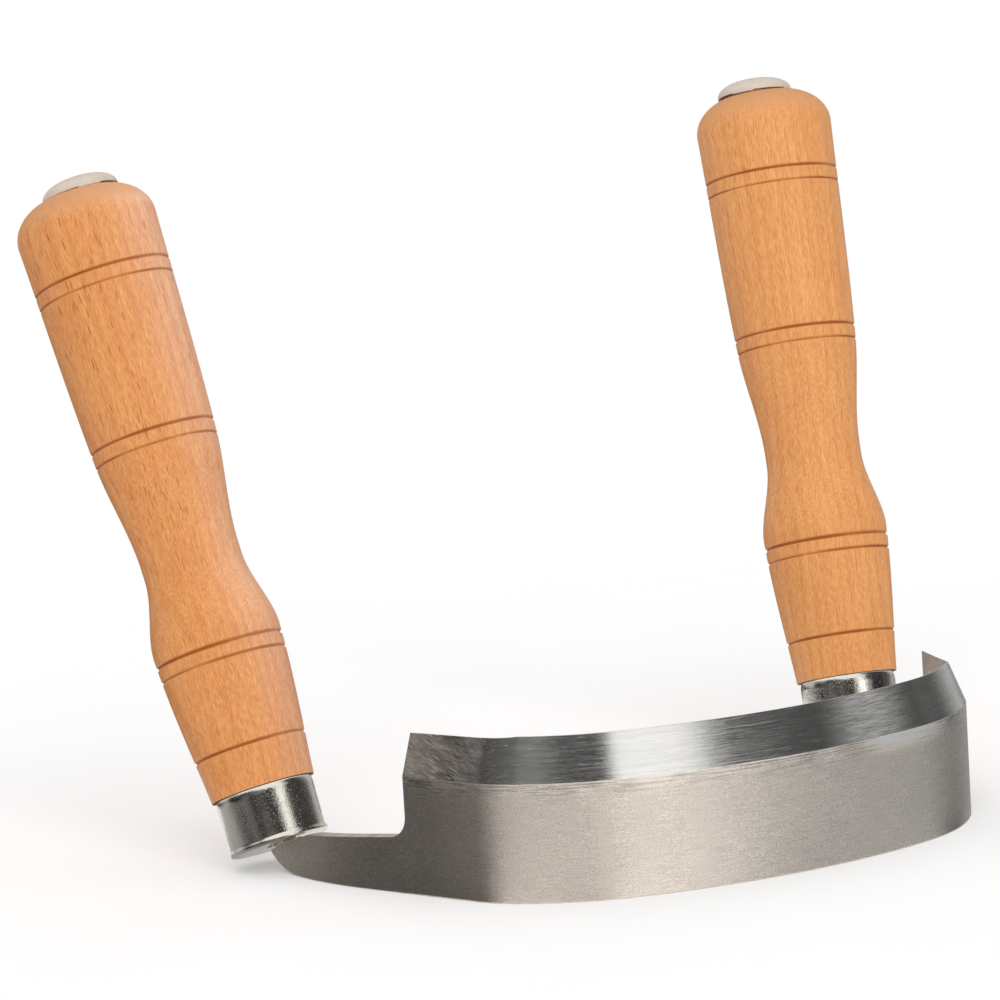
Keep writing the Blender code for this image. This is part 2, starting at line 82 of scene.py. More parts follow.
# Faces at the shoulder: corners of the last band section, corners of the shoulder's section, and material.
SHOULDER_FACES = (
    ((0, 1), (1, 0), GROUND),
    ((1, 2), (3, 2, 1), GROUND),
    ((3, 4), (5, 4), GROUND),
    ((5, 6), (8, 7), GROUND),
    ((6, 0), (0, 8), GROUND),
    ((), (2, 3, 4, 5, 6), GROUND),
    ((2, 3), (4, 3), BEVEL),
    ((4, 5), (7, 6, 5), INNER),
)
# Corners of the shoulder's section from which the tang goes on.
TANG_CORNERS = (0, 1, 2, 6, 7, 8)

# The spike's thickness against the blade's, and its root and tip against its own width and thickness.
SPIKE_THICKNESS = 0.94
SPIKE_ROOT_WIDTH = 0.65
SPIKE_ROOT_THICKNESS = 0.8
SPIKE_TIP_WIDTH = 0.7
# Height over which the bore narrows above the place where the spike is centred.
BORE_TAPER = 0.005

# Slopes of the turned outline where its curves meet, as change of radius over height.
CROWN_SLOPE = 0.036
WAIST_SLOPE = 0.06
NECK_SLOPE = 0.0
BULGE_TOP_SLOPE = -0.11
BULGE_FOOT_SLOPE = 0.03
FOOT_SLOPE = 0.085

# Boldness of the groove pairs at the bulge, waist and crown, and the burn of the finer groove of a pair.
GROOVE_BOLDNESS = (1.15, 1.0, 0.95)
FINE_BURN = 0.9
# The outline's own points keep off a groove by this many of its half widths.
GROOVE_MARGIN = 1.1
# Depth of a groove round the handle: its mean, and waves as (share, waves round, turn per metre of height).
GROOVE_MEAN = 0.85
GROOVE_WAVES = ((0.10, 2, 900), (0.06, 7, 400))
# Value of the burn layer that marks painted shadow on the wood under the foot and inside the ferrule.
FOOT_SHADE = 2.2

# Height of the ferrule's bead against its width, and the roundness of the cap's dome.
BEAD_SPREAD = 3.5
DOME_POWER = 0.86

# Grain of each handle: the shift of its pattern in millimetres, and its own values in the beech group.
GRAINS = {
    "left": ((0, 0, 0), {"Pith": (-38, -13, 0), "Ring Pitch": 2.6, "Fleck": 1.0, "Depth": 0.15}),
    "right": ((3, 7, 31), {"Pith": (34, -20, 0), "Ring Pitch": 2.1, "Fleck": 0.5, "Depth": -0.04}),
}
# Height in millimetres over which the wood turns to end grain at the crown.
CROWN_FADE = 4.5
# How much of the depth counts in the pattern of the steel.
DEPTH_SHARE = 0.05

# Places along the blade in millimetres from its middle: the painted sheen below the bevel, the sheen on the
# bevel and the painted shade at the fold of the left corner, then from where to where the touched-up bevel,
# the painted shade of the left end and the clean steel come in.
FACE_SHEEN = 32.0
BEVEL_SHEEN = 22.5
LEFT_FOLD = -71.0
TOUCHED_UP = (-58.0, -76.0)
LEFT_END_SHADE = (-69.0, -86.0)
CLEAN_STEEL = (-60.0, 60.0)

# Cards that metal reflects: turn of the middle from straight ahead, half width and soft edge in degrees,
# then the brightness near the floor and higher up.
ROOM_CARDS = {
    "window": (3.25, 10.75, 3.5, 1.1, 1.08),
    "window_glow": (8, 16, 8, 0.6, 0.0),
    "slim_lamp": (76, 5, 6, 0.06, 0.0),
    "right_wall": (150, 24, 46, 0.6, 0.5),
    "left_lamp": (-54, 1, 20, 0.03, 0.15),
    "left_curtain": (-82, 5, 8, 0.12, 0.02),
    "left_wall": (-116, 6, 14, 0.0, 0.29),
    "back_wall": (-195, 58, 10, 0.55, 0.42),
}
ROOM_DIM = (0.02, 0.05)
ROOM_STEP = (14, 22)
FLOOR_CARDS = {
    "sheet": (-32, 26, 40, 0.68),
    "left_sheet": (-50, 8, 14, 0.1),
    "right_sheet": (40, 22, 40, 0.4),
    "window_pool": (16, 12, 14, 0.06),
    "right_edge": (150, 31, 25, 0.31),
    "left_edge": (-165, 17, 16, 0.55),
}
FLOOR_DIM = 0.135
BACK_LEVEL = 0.12
# Turn of the camera's place from straight ahead of the blade, in degrees, and its sensor in millimetres.
CAMERA_TURN = 33.6
SENSOR_WIDTH = 36.0
# Half of the floor's side in metres, and its squares along a side.
FLOOR_REACH = 6.0
FLOOR_SQUARES = 8
# The room card: its middle, distance, turns, steps upward and the height of its foot in degrees,
# then the height of its top for the turns below each limit.
CARD_MIDDLE = (0.0, 0.04, 0.03)
CARD_DISTANCE = 0.95
CARD_TURNS = range(-235, 126)
CARD_STEPS = 12
CARD_FOOT = -5
CARD_TOPS = ((-105, 30), (30, 38), (126, 66))
# The cards on the floor: their lift, the turns and edges of the one behind the tool, then the edges of the
# one before it and the last turn of the blade that it serves.
CARD_LIFT = 0.0002
BACK_TURNS = range(110, 231, 10)
BACK_EDGES = (0.145, 0.93)
FRONT_EDGES = (0.05, 0.6)
FRONT_LAST_TURN = 56
# Its rows before the left tang: shift from the shoulder in X and Y, change of the blade's turn, and start.
TANG_ROWS = ((0.012, 0.04, -0.3, 0.016), (0.0, 0.012, -0.1, 0.004))


def length(name, default, description):
    return bpy.props.FloatProperty(
        name=name, description=description, default=default, precision=5, subtype="DISTANCE", unit="LENGTH"
    )


def angle(name, degrees, description):
    return bpy.props.FloatProperty(
        name=name, description=description, default=math.radians(degrees), subtype="ANGLE", unit="ROTATION"
    )


def share(name, default, description):
    return bpy.props.FloatProperty(
        name=name, description=description, default=default, min=0.0, max=1.0, subtype="FACTOR"
    )


def colour(name, default, description):
    return bpy.props.FloatVectorProperty(
        name=name, description=description, default=default, size=3, min=0.0, max=1.0, subtype="COLOR"
    )


def brightness(name, default, description):
    return bpy.props.FloatProperty(name=name, description=description, default=default, min=0.0)


def direction(name, default, description):
    return bpy.props.FloatVectorProperty(
        name=name, description=description, default=default, subtype="DIRECTION"
    )


class InshaveBladeSizes(bpy.types.PropertyGroup):
    """Sizes of the blade, its tangs and the spikes inside the handles."""

    thickness: length("Thickness", 0.0035, "Thickness of the steel")
    bevel_height: length("Bevel height", 0.0244, "Height of the line where the bevel starts")
    bevel_rise: length("Bevel rise", 0.0091, "Height of the bevel above that line")
    edge_land: length("Edge land", 0.0002, "Width left at the cutting edge")
    back_chamfer: length("Back chamfer", 0.0003, "Broken corner along the back edge")
    edge_round: length("Edge round", 0.00008, "Rounding of the sharp corners")
    middle_radius: length("Middle radius", 0.125, "Plan radius of the middle of the band")
    middle_bend: angle("Middle bend", 16.9, "Bend of half of the middle arc")
    sweep_radius: length("Sweep radius", 0.044566, "Plan radius of the sweep beside the middle")
    sweep_bend: angle("Sweep bend", 32.8157, "Bend of the sweep")
    corner_radius: length("Corner radius", 0.018, "Plan radius of the last bend")
    corner_bend: angle("Corner bend", 20.6843, "Bend of the corner")
    end_length: length("End length", 0.0179, "Straight length from the corner to the shoulder")
    left_edge_drop: length("Left edge drop", 0.0007, "How far the cutting edge falls at the left shoulder")
    right_edge_drop: length("Right edge drop", 0.0017, "How far the cutting edge falls at the right shoulder")
    edge_drop_lead: length("Edge drop lead", 0.003, "Distance before the corner at which the fall starts")
    tang_height: length("Tang height", 0.0119, "Height of the tang at the shoulder")
    tang_fall: share("Tang fall", 0.086, "Fall of the tang's upper edge along its length")
    shoulder_fillet: length("Shoulder fillet", 0.004, "Radius between the shoulder and the tang")
    tang_straight: length("Tang straight", 0.012, "Straight part of the tang")
    tang_lift_start: length("Tang lift start", 0.025, "Where the tang's lower edge starts to rise")
    tang_past_axis: length("Tang past axis", 0.001, "How far the tang reaches past the handle's axis")
    tang_tip_height: length("Tang tip height", 0.0006, "Height of the tang at its tip")
    ferrule_gap: length("Ferrule gap", 0.0006, "Gap between the tang and the ferrule")
    spike_width: length("Spike width", 0.006, "Width of the spike inside the handle")
    spike_eccentric: length("Spike offset", 0.0025, "Offset of the spike at the ferrule")
    spike_centred_at: length("Spike centred at", 0.016, "Height at which the spike reaches the axis")
    spike_root_depth: length("Spike root depth", 0.002, "How far the spike reaches down into the tang")
    pin_radius: length("Pin radius", 0.0023, "Radius of the round end of the spike")
    pin_room: length("Pin room", 0.0005, "Room between the pin and the cap")


class InshaveHandleSizes(bpy.types.PropertyGroup):
    """Where the two handles stand, and their turned outline from the ferrule upward."""

    mouth_spread: length("Mouth spread", 0.14575, "Distance between the two ferrule mouths")
    mouth_setback: length("Mouth setback", 0.08175, "Distance of the mouths behind the blade's middle")
    left_mouth_height: length("Left mouth height", 0.0051, "Height of the left ferrule's lower face")
    right_mouth_height: length("Right mouth height", 0.0075, "Height of the right ferrule's lower face")
    left_lean: angle("Left lean", 20.7, "Lean of the left handle away from the blade")
    right_lean: angle("Right lean", 14.9, "Lean of the right handle away from the blade")
    left_splay: angle("Left splay", 4.55, "Outward splay of the left handle")
    right_splay: angle("Right splay", 3.1, "Outward splay of the right handle")
    wood_proud: length("Wood proud", 0.0006, "How far the wood stands out over the ferrule")
    foot_length: length("Foot length", 0.0324, "From the ferrule to the bulge")
    bulge_radius: length("Bulge radius", 0.01365, "Radius of the bulge")
    bulge_round: length("Bulge round", 0.0015, "Half height of the rounded bulge")
    bulge_to_neck: length("Bulge to neck", 0.0178, "From the bulge up to the neck")
    neck_radius: length("Neck radius", 0.0106, "Radius of the neck")
    neck_length: length("Neck length", 0.0025, "Straight part of the neck")
    neck_to_waist: length("Neck to waist", 0.0251, "From the neck up to the waist")
    waist_radius: length("Waist radius", 0.0133, "Radius of the waist")
    waist_to_crown: length("Waist to crown", 0.0489, "From the waist up to the widest place")
    crown_radius: length("Crown radius", 0.01507, "Radius of the widest place")
    crown_arc_offset: length("Crown arc offset", 0.005, "Distance of the crown arc's middle from the axis")
    crown_arc_rise: length("Crown arc rise", 0.008, "Rise of the crown arc")
    groove_above_ferrule: length("Foot groove", 0.0093, "Height of the single groove above the ferrule")
    grooves_below_bulge: length("Bulge grooves", 0.0036, "Middle of the pair below the bulge")
    grooves_above_waist: length("Waist grooves", 0.0007, "Middle of the pair above the waist")
    grooves_below_crown: length("Crown grooves", 0.0126, "Middle of the pair below the crown")
    groove_pitch: length("Groove pitch", 0.0031, "Distance between the grooves of a pair")
    groove_width: length("Groove width", 0.00095, "Width of the bolder grooves")
    groove_depth: length("Groove depth", 0.0004, "Depth of the bolder grooves")
    fine_groove: share("Fine groove", 0.8, "Size of the lower groove of a pair against the upper one")


class InshaveFittingSizes(bpy.types.PropertyGroup):
    """Sizes of the ferrules and end caps."""

    ferrule_length: length("Ferrule length", 0.0118, "Length of the ferrule")
    ferrule_radius: length("Ferrule radius", 0.0105, "Outer radius of the ferrule at its top")
    ferrule_taper: length("Ferrule taper", 0.0002, "How much narrower the ferrule is at its foot")
    ferrule_wall: length("Ferrule wall", 0.0009, "Thickness of the ferrule's wall")
    ferrule_inner_round: length("Ferrule inner round", 0.0007, "Rounding inside the ferrule's foot")
    ferrule_seat: length("Ferrule seat", 0.0001, "Gap between the ferrule's rim and the wood")
    ferrule_foot_round: length("Ferrule foot round", 0.0005, "Rounding of the ferrule's lower corner")
    ferrule_bead: length("Ferrule bead", 0.0003, "How far the bead round the ferrule's foot stands out")
    ferrule_rim_width: length("Ferrule rim width", 0.0005, "Width of the ferrule's rounded upper rim")
    ferrule_rim_height: length("Ferrule rim height", 0.0018, "Height of the ferrule's rounded upper rim")
    cap_inset: length("Cap inset", 0.0011, "How far the cap sits inward of the handle's axis")
    left_cap_turn: angle("Left cap turn", -11, "Turn of the left cap")
    right_cap_turn: angle("Right cap turn", 38, "Turn of the right cap")
    cap_radius: length("Cap radius", 0.00826, "Radius of the end cap")
    cap_height: length("Cap height", 0.00372, "Height of the end cap")
    cap_wall: length("Cap wall", 0.0007, "Thickness of the end cap")
    cap_seat: length("Cap seat", 0.0001, "Gap between the end cap and the wood")
    cap_margin: length("Cap margin", 0.0001, "Flat of the wood outside the cap")
    cap_notch_height: length("Cap notch height", 0.00022, "Height of the notches in the cap's rim")
    cap_notch_share: share("Cap notch share", 0.6, "Share of the rim that is notched")
    cap_tabs: bpy.props.IntProperty(name="Cap tabs", description="Tabs round the cap's rim", default=4, min=2)
    cap_edge_round: length("Cap edge round", 0.00012, "Rounding of the cap's rim")


class InshaveFinishes(bpy.types.PropertyGroup):
    """Colours of the finishes."""

    beech_light: colour("Light beech", (0.89, 0.43, 0.156), "Wood between the grain lines")
    beech_dark: colour("Dark beech", (0.60, 0.21, 0.056), "Grain lines of the wood")
    beech_fleck: colour("Flecks", (0.40, 0.115, 0.012), "Short dark flecks in the wood")
    beech_end: colour("End grain", (0.68, 0.335, 0.155), "Wood of the rounded crown")
    foot_shadow: colour("Foot shadow", (0.035, 0.014, 0.006), "Dark wood inside the ferrule")
    groove_burn: colour("Groove burn", (0.34, 0.09, 0.004), "Burnt wood in the grooves")
    ground_steel: colour("Ground steel", (0.77, 0.68, 0.60), "Satin face of the blade, warm at the left end")
    clean_steel: colour("Clean steel", (0.74, 0.695, 0.64), "Satin face of the blade at the right end")
    inner_steel: colour("Inner steel", (0.60, 0.51, 0.44), "Satin hollow side of the blade")
    bevel_steel: colour("Bevel steel", (0.80, 0.79, 0.76), "Polished bevel of the blade")
    ferrule_nickel: colour("Ferrule nickel", (0.88, 0.83, 0.75), "Bright plating of the ferrules")
    cap_nickel: colour("Cap nickel", (0.71, 0.61, 0.52), "Satin plating of the end caps")
    spring_steel: colour("Spring steel", (0.30, 0.30, 0.31), "Rings inside the end caps")


class InshaveStageSettings(bpy.types.PropertyGroup):
    """Camera, lamps and floor."""

    camera_place: bpy.props.FloatVectorProperty(
        name="Camera place",
        description="Where the camera stands",
        default=(-0.615672, -0.926032, 0.242247),
        subtype="TRANSLATION",
        unit="LENGTH",
    )
    camera_aim: direction("Camera aim", (0.5066329, 0.8498858, -0.1449732), "Where the camera looks")
    camera_down: direction("Camera down", (-0.1243042, -0.0943890, -0.9877445), "Downward in the picture")
    camera_lens: bpy.props.FloatProperty(
        name="Camera lens", description="Focal length on a 36 mm sensor", default=201.705, unit="CAMERA"
    )
    key_strength: brightness("Key strength", 1.35, "Strength of the main lamp")
    key_turn: angle("Key turn", -22, "Turn of the main lamp from straight ahead of the blade")
    key_height: angle("Key height", 34, "Height of the main lamp above the horizon")
    key_spread: angle("Key spread", 55, "Angle across the main lamp as the tool sees it")
    gloss_strength: brightness("Gloss strength", 9.0, "Strength of the lamp for the left handle's gloss")
    gloss_turn: angle("Gloss turn", 78, "Turn of that lamp from straight ahead of the blade")
    gloss_height: angle("Gloss height", 30, "Height of that lamp above the horizon")
    gloss_spread: angle("Gloss spread", 80, "Angle across that lamp as the tool sees it")
    fill_strength: brightness("Fill strength", 0.68, "Brightness of the room as matt surfaces see it")
    floor_colour: colour("Floor colour", (0.95, 0.95, 0.95), "Plain pale floor")
    floor_glow: brightness("Floor glow", 0.14, "Brightness added to the floor in the picture")
    card_level: brightness("Card level", 1.0, "Brightness of the cards that metal reflects")


class InshaveSettings(bpy.types.PropertyGroup):
    """All settings of the tool."""

    blade: bpy.props.PointerProperty(type=InshaveBladeSizes)
    handle: bpy.props.PointerProperty(type=InshaveHandleSizes)
    fitting: bpy.props.PointerProperty(type=InshaveFittingSizes)
    finish: bpy.props.PointerProperty(type=InshaveFinishes)
    stage: bpy.props.PointerProperty(type=InshaveStageSettings)


# Shapes.


def frame_matrix(x_axis, y_axis, z_axis, origin):
    """The matrix that brings local places to a frame with these axes."""
    columns = (x_axis, y_axis, z_axis, origin)
    rows = [[column[i] for column in columns] for i in range(3)]
    return Matrix(rows + [[0, 0, 0, 1]])


class Side:
    """Where one handle stands, and the frames of its axis and its cap."""

    def __init__(self, settings, name):
        handle = settings.handle
        self.name = name
        self.sign = -1 if name == "left" else 1
        self.edge_drop = getattr(settings.blade, name + "_edge_drop")
        lean = getattr(handle, name + "_lean")
        splay = getattr(handle, name + "_splay")
        height = getattr(handle, name + "_mouth_height")
        self.mouth = Vector((self.sign * handle.mouth_spread / 2, handle.mouth_setback, height))
        across = self.sign * math.sin(splay)
        self.axis = Vector((across, math.cos(splay) * math.sin(lean), math.cos(splay) * math.cos(lean)))
        side_x = (Vector((1, 0, 0)) - self.axis * self.axis.x).normalized()
        side_y = self.axis.cross(side_x)
        self.frame = frame_matrix(side_x, side_y, self.axis, self.mouth)
        self.cap_shift = -side_x * self.sign * settings.fitting.cap_inset
        turn = getattr(settings.fitting, name + "_cap_turn")
        cap_foot = self.mouth + self.cap_shift
        self.cap_frame = frame_matrix(side_x, side_y, self.axis, cap_foot) @ Matrix.Rotation(turn, 4, "Z")


def both_sides(settings):
    return Side(settings, "left"), Side(settings, "right")


def new_object(name, mesh, matrix=None):
    obj = bpy.data.objects.new(name, mesh)
    bpy.context.scene.collection.objects.link(obj)
    if matrix is not None:
        obj.matrix_world = matrix
    return obj


def mesh_from_bmesh(name, bm):
    bmesh.ops.recalc_face_normals(bm, faces=bm.faces)
    mesh = bpy.data.meshes.new(name)
    bm.to_mesh(mesh)
    bm.free()
    return mesh


def smooth(mesh, crease_degrees):
    mesh.shade_smooth()
    mesh.set_sharp_from_angle(angle=math.radians(crease_degrees))


def settle(obj, tools=()):
    """Turns the object's modifiers into its own mesh and removes the shapes that they used."""
    graph = bpy.context.evaluated_depsgraph_get()
    mesh = bpy.data.meshes.new_from_object(obj.evaluated_get(graph))
    old = obj.data
    obj.modifiers.clear()
    obj.data = mesh
    bpy.data.meshes.remove(old)
    mesh.name = obj.name
    for tool in tools:
        bpy.data.objects.remove(tool, do_unlink=True)


def boolean(obj, tool, operation):
    modifier = obj.modifiers.new(tool.name, "BOOLEAN")
    modifier.operation = operation
    modifier.solver = "EXACT"
    modifier.object = tool


def soften(obj, width, least_degrees):
    modifier = obj.modifiers.new("soften", "BEVEL")
    modifier.width = width
    modifier.segments = 2
    modifier.limit_method = "ANGLE"
    modifier.angle_limit = math.radians(least_degrees)
    modifier.use_clamp_overlap = False
    modifier.harden_normals = True


def skin(bm, low, high, closed=True):
    """Joins two rows of vertices by four-sided faces, all the way round if they are closed."""
    count = len(low)
    faces = []
    for k in range(count if closed else count - 1):
        m = (k + 1) % count
        faces.append(bm.faces.new((low[k], low[m], high[m], high[k])))
    return faces


def turned_mesh(name, rows, closed=True, uneven=None):
    """Rows of (radius, height), some with (cut depth, burn and painted shade), turned round the local Z axis.

    The last row of a closed profile meets its first one.
    """
    bm = bmesh.new()
    burn = bm.verts.layers.float.new("burn")
    rings = []
    for i in range(TURNED_STEPS):
        turn = math.tau * i / TURNED_STEPS
        ring = []
        for radius, height, *cut in rows:
            depth, char = cut or (0.0, 0.0)
            share_here = uneven(turn, height) if uneven else 1.0
            out = radius - depth * share_here
            vert = bm.verts.new((out * math.cos(turn), out * math.sin(turn), height))
            vert[burn] = char * share_here
            ring.append(vert)
        rings.append(ring)
    for ring, following in zip(rings, rings[1:] + rings[:1]):
        skin(bm, ring, following, closed)
    bmesh.ops.remove_doubles(bm, verts=bm.verts, dist=1e-7)
    return mesh_from_bmesh(name, bm)


def rod_mesh(name, radius, low, high, sides):
    """A round bar along the local Z axis."""
    bm = bmesh.new()
    made = bmesh.ops.create_cone(
        bm, cap_ends=True, segments=sides, radius1=radius, radius2=radius, depth=high - low
    )["verts"]
    bmesh.ops.translate(bm, verts=made, vec=(0.0, 0.0, (high + low) / 2))
    return mesh_from_bmesh(name, bm)


def quarter(steps):
    """Turns from 0 to a right angle."""
    return [i / steps * math.pi / 2 for i in range(steps + 1)]


def soft_step(value):
    """Rises softly from 0 to 1 as the value does."""
    part = min(1.0, max(0.0, value))
    return part * part * (3 - 2 * part)


def hermite(start, end, start_slope, end_slope, count):
    """Points (radius, height) from start to end, leaving out the start."""
    (r0, z0), (r1, z1) = start, end
    span = z1 - z0
    points = []
    for i in range(1, count + 1):
        t = i / count
        radius = r0 + (r1 - r0) * (3 * t * t - 2 * t ** 3)
        radius += span * (start_slope * (t ** 3 - 2 * t * t + t) + end_slope * (t ** 3 - t * t))
        points.append((radius, z0 + span * t))
    return points


# Blade.


def half_plan(blade):
    """(x, y, turn, distance) along the outer face, from the middle to the shoulder on the +X side."""
    rows = [(0.0, -blade.thickness / 2, 0.0, 0.0)]
    arcs = (
        (blade.middle_radius, blade.middle_bend),
        (blade.sweep_radius, blade.sweep_bend),
        (blade.corner_radius, blade.corner_bend),
    )
    for (radius, bend), steps in zip(arcs, ARC_STEPS):
        x, y, first, run = rows[-1]
        for i in range(1, steps + 1):
            turn = first + bend * i / steps
            over = x + radius * (math.sin(turn) - math.sin(first))
            back = y + radius * (math.cos(first) - math.cos(turn))
            rows.append((over, back, turn, run + radius * (turn - first)))
    x, y, turn, run = rows[-1]
    for i in range(1, END_STEPS + 1):
        more = blade.end_length * i / END_STEPS
        rows.append((x + more * math.cos(turn), y + more * math.sin(turn), turn, run + more))
    return rows


class BladeLoft:
    """The band, shoulders and flat tangs as one loft, each vertex keeping its distance along the blade."""

    def __init__(self, blade):
        self.blade = blade
        self.bm = bmesh.new()
        self.along = self.bm.verts.layers.float.new("along")

    def ring(self, outer, inward, distance, places):
        """Vertices of one section, each given by its distance inward from the outer face and its height."""
        corners = []
        for across, z in places:
            point = outer + inward * across
            vert = self.bm.verts.new((point.x, point.y, z))
            vert[self.along] = distance
            corners.append(vert)
        return corners

    def strip(self, first, second, finishes):
        """Joins two sections; finishes gives the material of each strip that isn't ground steel."""
        for i, face in enumerate(skin(self.bm, first, second)):
            face.material_index = finishes.get(i, GROUND)

    def band_section(self, outer, inward, distance, edge_height, tang_top=None):
        inner = self.blade.thickness
        chamfer = self.blade.back_chamfer
        tang = [] if tang_top is None else [tang_top]
        places = [(chamfer, 0.0), (0.0, chamfer)] + [(0.0, z) for z in tang]
        places += [(0.0, self.blade.bevel_height), (inner - self.blade.edge_land, edge_height)]
        places += [(inner, edge_height)] + [(inner, z) for z in tang]
        places += [(inner, chamfer), (inner - chamfer, 0.0)]
        return self.ring(outer, inward, distance, places)

    def tang_section(self, outer, inward, distance, low, high):
        inner = self.blade.thickness
        chamfer = self.blade.back_chamfer
        places = [(chamfer, low), (0.0, low + chamfer), (0.0, high)]
        places += [(inner, high), (inner, low + chamfer), (inner - chamfer, low)]
        return self.ring(outer, inward, distance, places)

    def shoulder(self, last, section):
        """Joins the last band section to the shoulder section, which holds the tang's two upper corners."""
        for before, after, finish in SHOULDER_FACES:
            corners = [last[i] for i in before] + [section[i] for i in after]
            self.bm.faces.new(corners).material_index = finish
        return [section[i] for i in TANG_CORNERS]


def tang_path(blade, side, start, turn):
    """A function that gives outer point, inward direction and heading along the tang, and its reach."""
    along = Vector((side.sign * math.cos(turn), math.sin(turn)))
    inward = Vector((-side.sign * math.sin(turn), math.cos(turn)))
    middle = start + inward * blade.thickness / 2
    to_mouth = side.mouth.xy - middle
    reach = to_mouth.dot(along)
    bend = to_mouth.dot(inward) / (reach - blade.tang_straight) ** 2

    def at(distance):
        past = max(0.0, distance - blade.tang_straight)
        point = middle + along * distance + inward * bend * past * past
        heading = (along + inward * 2 * bend * past).normalized()
        across = (inward - heading * inward.dot(heading)).normalized()
        return point - across * blade.thickness / 2, across, heading

    return at, reach


def add_tang(loft, side, ring, start, turn, shoulder):
    blade = loft.blade
    fillet = blade.shoulder_fillet
    at, reach = tang_path(blade, side, start, turn)
    lean = side.axis.xy.dot(at(reach)[2]) / side.axis.z
    gap = blade.ferrule_gap * math.hypot(1, lean)
    tip = reach + blade.tang_past_axis
    tip_low = side.mouth.z - blade.tang_past_axis * lean - gap - blade.tang_tip_height
    quarter_turn = 2 * FILLET_STEPS
    stations = [fillet * (1 - math.cos(i * math.pi / quarter_turn)) for i in range(1, FILLET_STEPS + 1)]
    stations += [fillet + (tip - fillet) * i / TANG_STEPS for i in range(1, TANG_STEPS + 1)]
    for distance in stations:
        outer, across, _ = at(distance)
        rise = max(0.0, (distance - blade.tang_lift_start) / (tip - blade.tang_lift_start)) ** 4
        high = blade.tang_height - blade.tang_fall * distance
        if distance < fillet:
            back = fillet - distance
            high += fillet - math.sqrt(fillet ** 2 - back * back)
        high = min(high, side.mouth.z + (reach - distance) * lean - gap)
        section = loft.tang_section(outer, across, side.sign * (shoulder + distance), tip_low * rise, high)
        loft.strip(ring, section, TANG_FINISHES)
        ring = section
    loft.bm.faces.new(ring)


def edge_height(blade, side, distance, shoulder):
    """The cutting edge, falling a little from each corner to the shoulder."""
    worn = blade.edge_drop_lead + blade.corner_radius * blade.corner_bend + blade.end_length
    part = max(0.0, 1 - (shoulder - distance) / worn)
    return blade.bevel_height + blade.bevel_rise - side.edge_drop * math.sqrt(part)


def blade_mesh(blade, sides):
    loft = BladeLoft(blade)
    rows = half_plan(blade)
    shoulder = rows[-1][3]
    top = blade.bevel_height + blade.bevel_rise
    middle = loft.band_section(Vector(rows[0][:2]), Vector((0, 1)), 0.0, top)
    for side in sides:
        ring = middle
        for x, y, turn, distance in rows[1:]:
            outer = Vector((side.sign * x, y))
            inward = Vector((-side.sign * math.sin(turn), math.cos(turn)))
            top = edge_height(blade, side, distance, shoulder)
            if distance < shoulder:
                section = loft.band_section(outer, inward, side.sign * distance, top)
                loft.strip(ring, section, BAND_FINISHES)
                ring = section
                continue
            tang_top = blade.tang_height + blade.shoulder_fillet
            section = loft.band_section(outer, inward, side.sign * distance, top, tang_top)
            ring = loft.shoulder(ring, section)
            add_tang(loft, side, ring, outer, turn, shoulder)
    return mesh_from_bmesh("blade_steel", loft.bm)


def spike_mesh(settings, side):
    """The part of the tang inside the handle: a tapering bar that comes onto the handle's axis."""
    blade = settings.blade
    outward = spike_outward(settings, side)
    across = side.axis.cross(outward)
    thick = blade.thickness * SPIKE_THICKNESS
    width = blade.spike_width
    root_width = width * SPIKE_ROOT_WIDTH
    root_offset = -blade.spike_eccentric - (width - root_width) / 2
    top = wood_top(settings) - settings.fitting.cap_radius / 2
    # Height, offset outward, width, thickness, and share of the cap's shift.
    stations = (
        (-blade.spike_root_depth, root_offset, root_width, thick * SPIKE_ROOT_THICKNESS, 0.0),
        (settings.fitting.ferrule_wall, -blade.spike_eccentric, width, thick, 0.0),
        (blade.spike_centred_at, 0.0, width, thick, 0.0),
        (top, 0.0, width * SPIKE_TIP_WIDTH, thick, 1.0),
    )
    corners = ((-1, -1), (1, -1), (1, 1), (-1, 1))
    bm = bmesh.new()
    rings = []
    for height, offset, wide, deep, shift in stations:
        centre = side.mouth + side.axis * height + outward * offset + side.cap_shift * shift
        places = [centre + outward * i * wide / 2 + across * j * deep / 2 for i, j in corners]
        rings.append([bm.verts.new(place) for place in places])
    for lower, upper in zip(rings, rings[1:]):
        skin(bm, lower, upper)
    bm.faces.new(rings[0])
    bm.faces.new(rings[-1])
    return mesh_from_bmesh(side.name + "_spike", bm)


def pin_mesh(settings, side):
    """The round end of the spike, from inside the wood to just under the cap."""
    fitting = settings.fitting
    top = cap_base(settings) + fitting.cap_height - fitting.cap_wall - settings.blade.pin_room
    bottom = wood_top(settings) - fitting.cap_radius
    return rod_mesh(side.name + "_pin", settings.blade.pin_radius, bottom, top, PIN_SIDES)


# Handles and fittings.


def wood_heights(settings):
    """Heights of the foot, bulge, neck, waist and crown above the ferrule's mouth."""
    handle = settings.handle
    foot = settings.fitting.ferrule_length + CLEARANCE
    bulge = foot + handle.foot_length
    neck = bulge + handle.bulge_to_neck
    waist = neck + handle.neck_to_waist
    return foot, bulge, neck, waist, waist + handle.waist_to_crown


def crown_start(settings):
    """Angle of the crown's arc at the flat under the cap."""
    handle = settings.handle
    flat = settings.fitting.cap_radius + settings.fitting.cap_margin
    return math.asin((flat - handle.crown_arc_offset) / (handle.crown_radius - handle.crown_arc_offset))


def wood_top(settings):
    return wood_heights(settings)[4] + settings.handle.crown_arc_rise * math.cos(crown_start(settings))


def cap_base(settings):
    return wood_top(settings) + settings.fitting.cap_seat


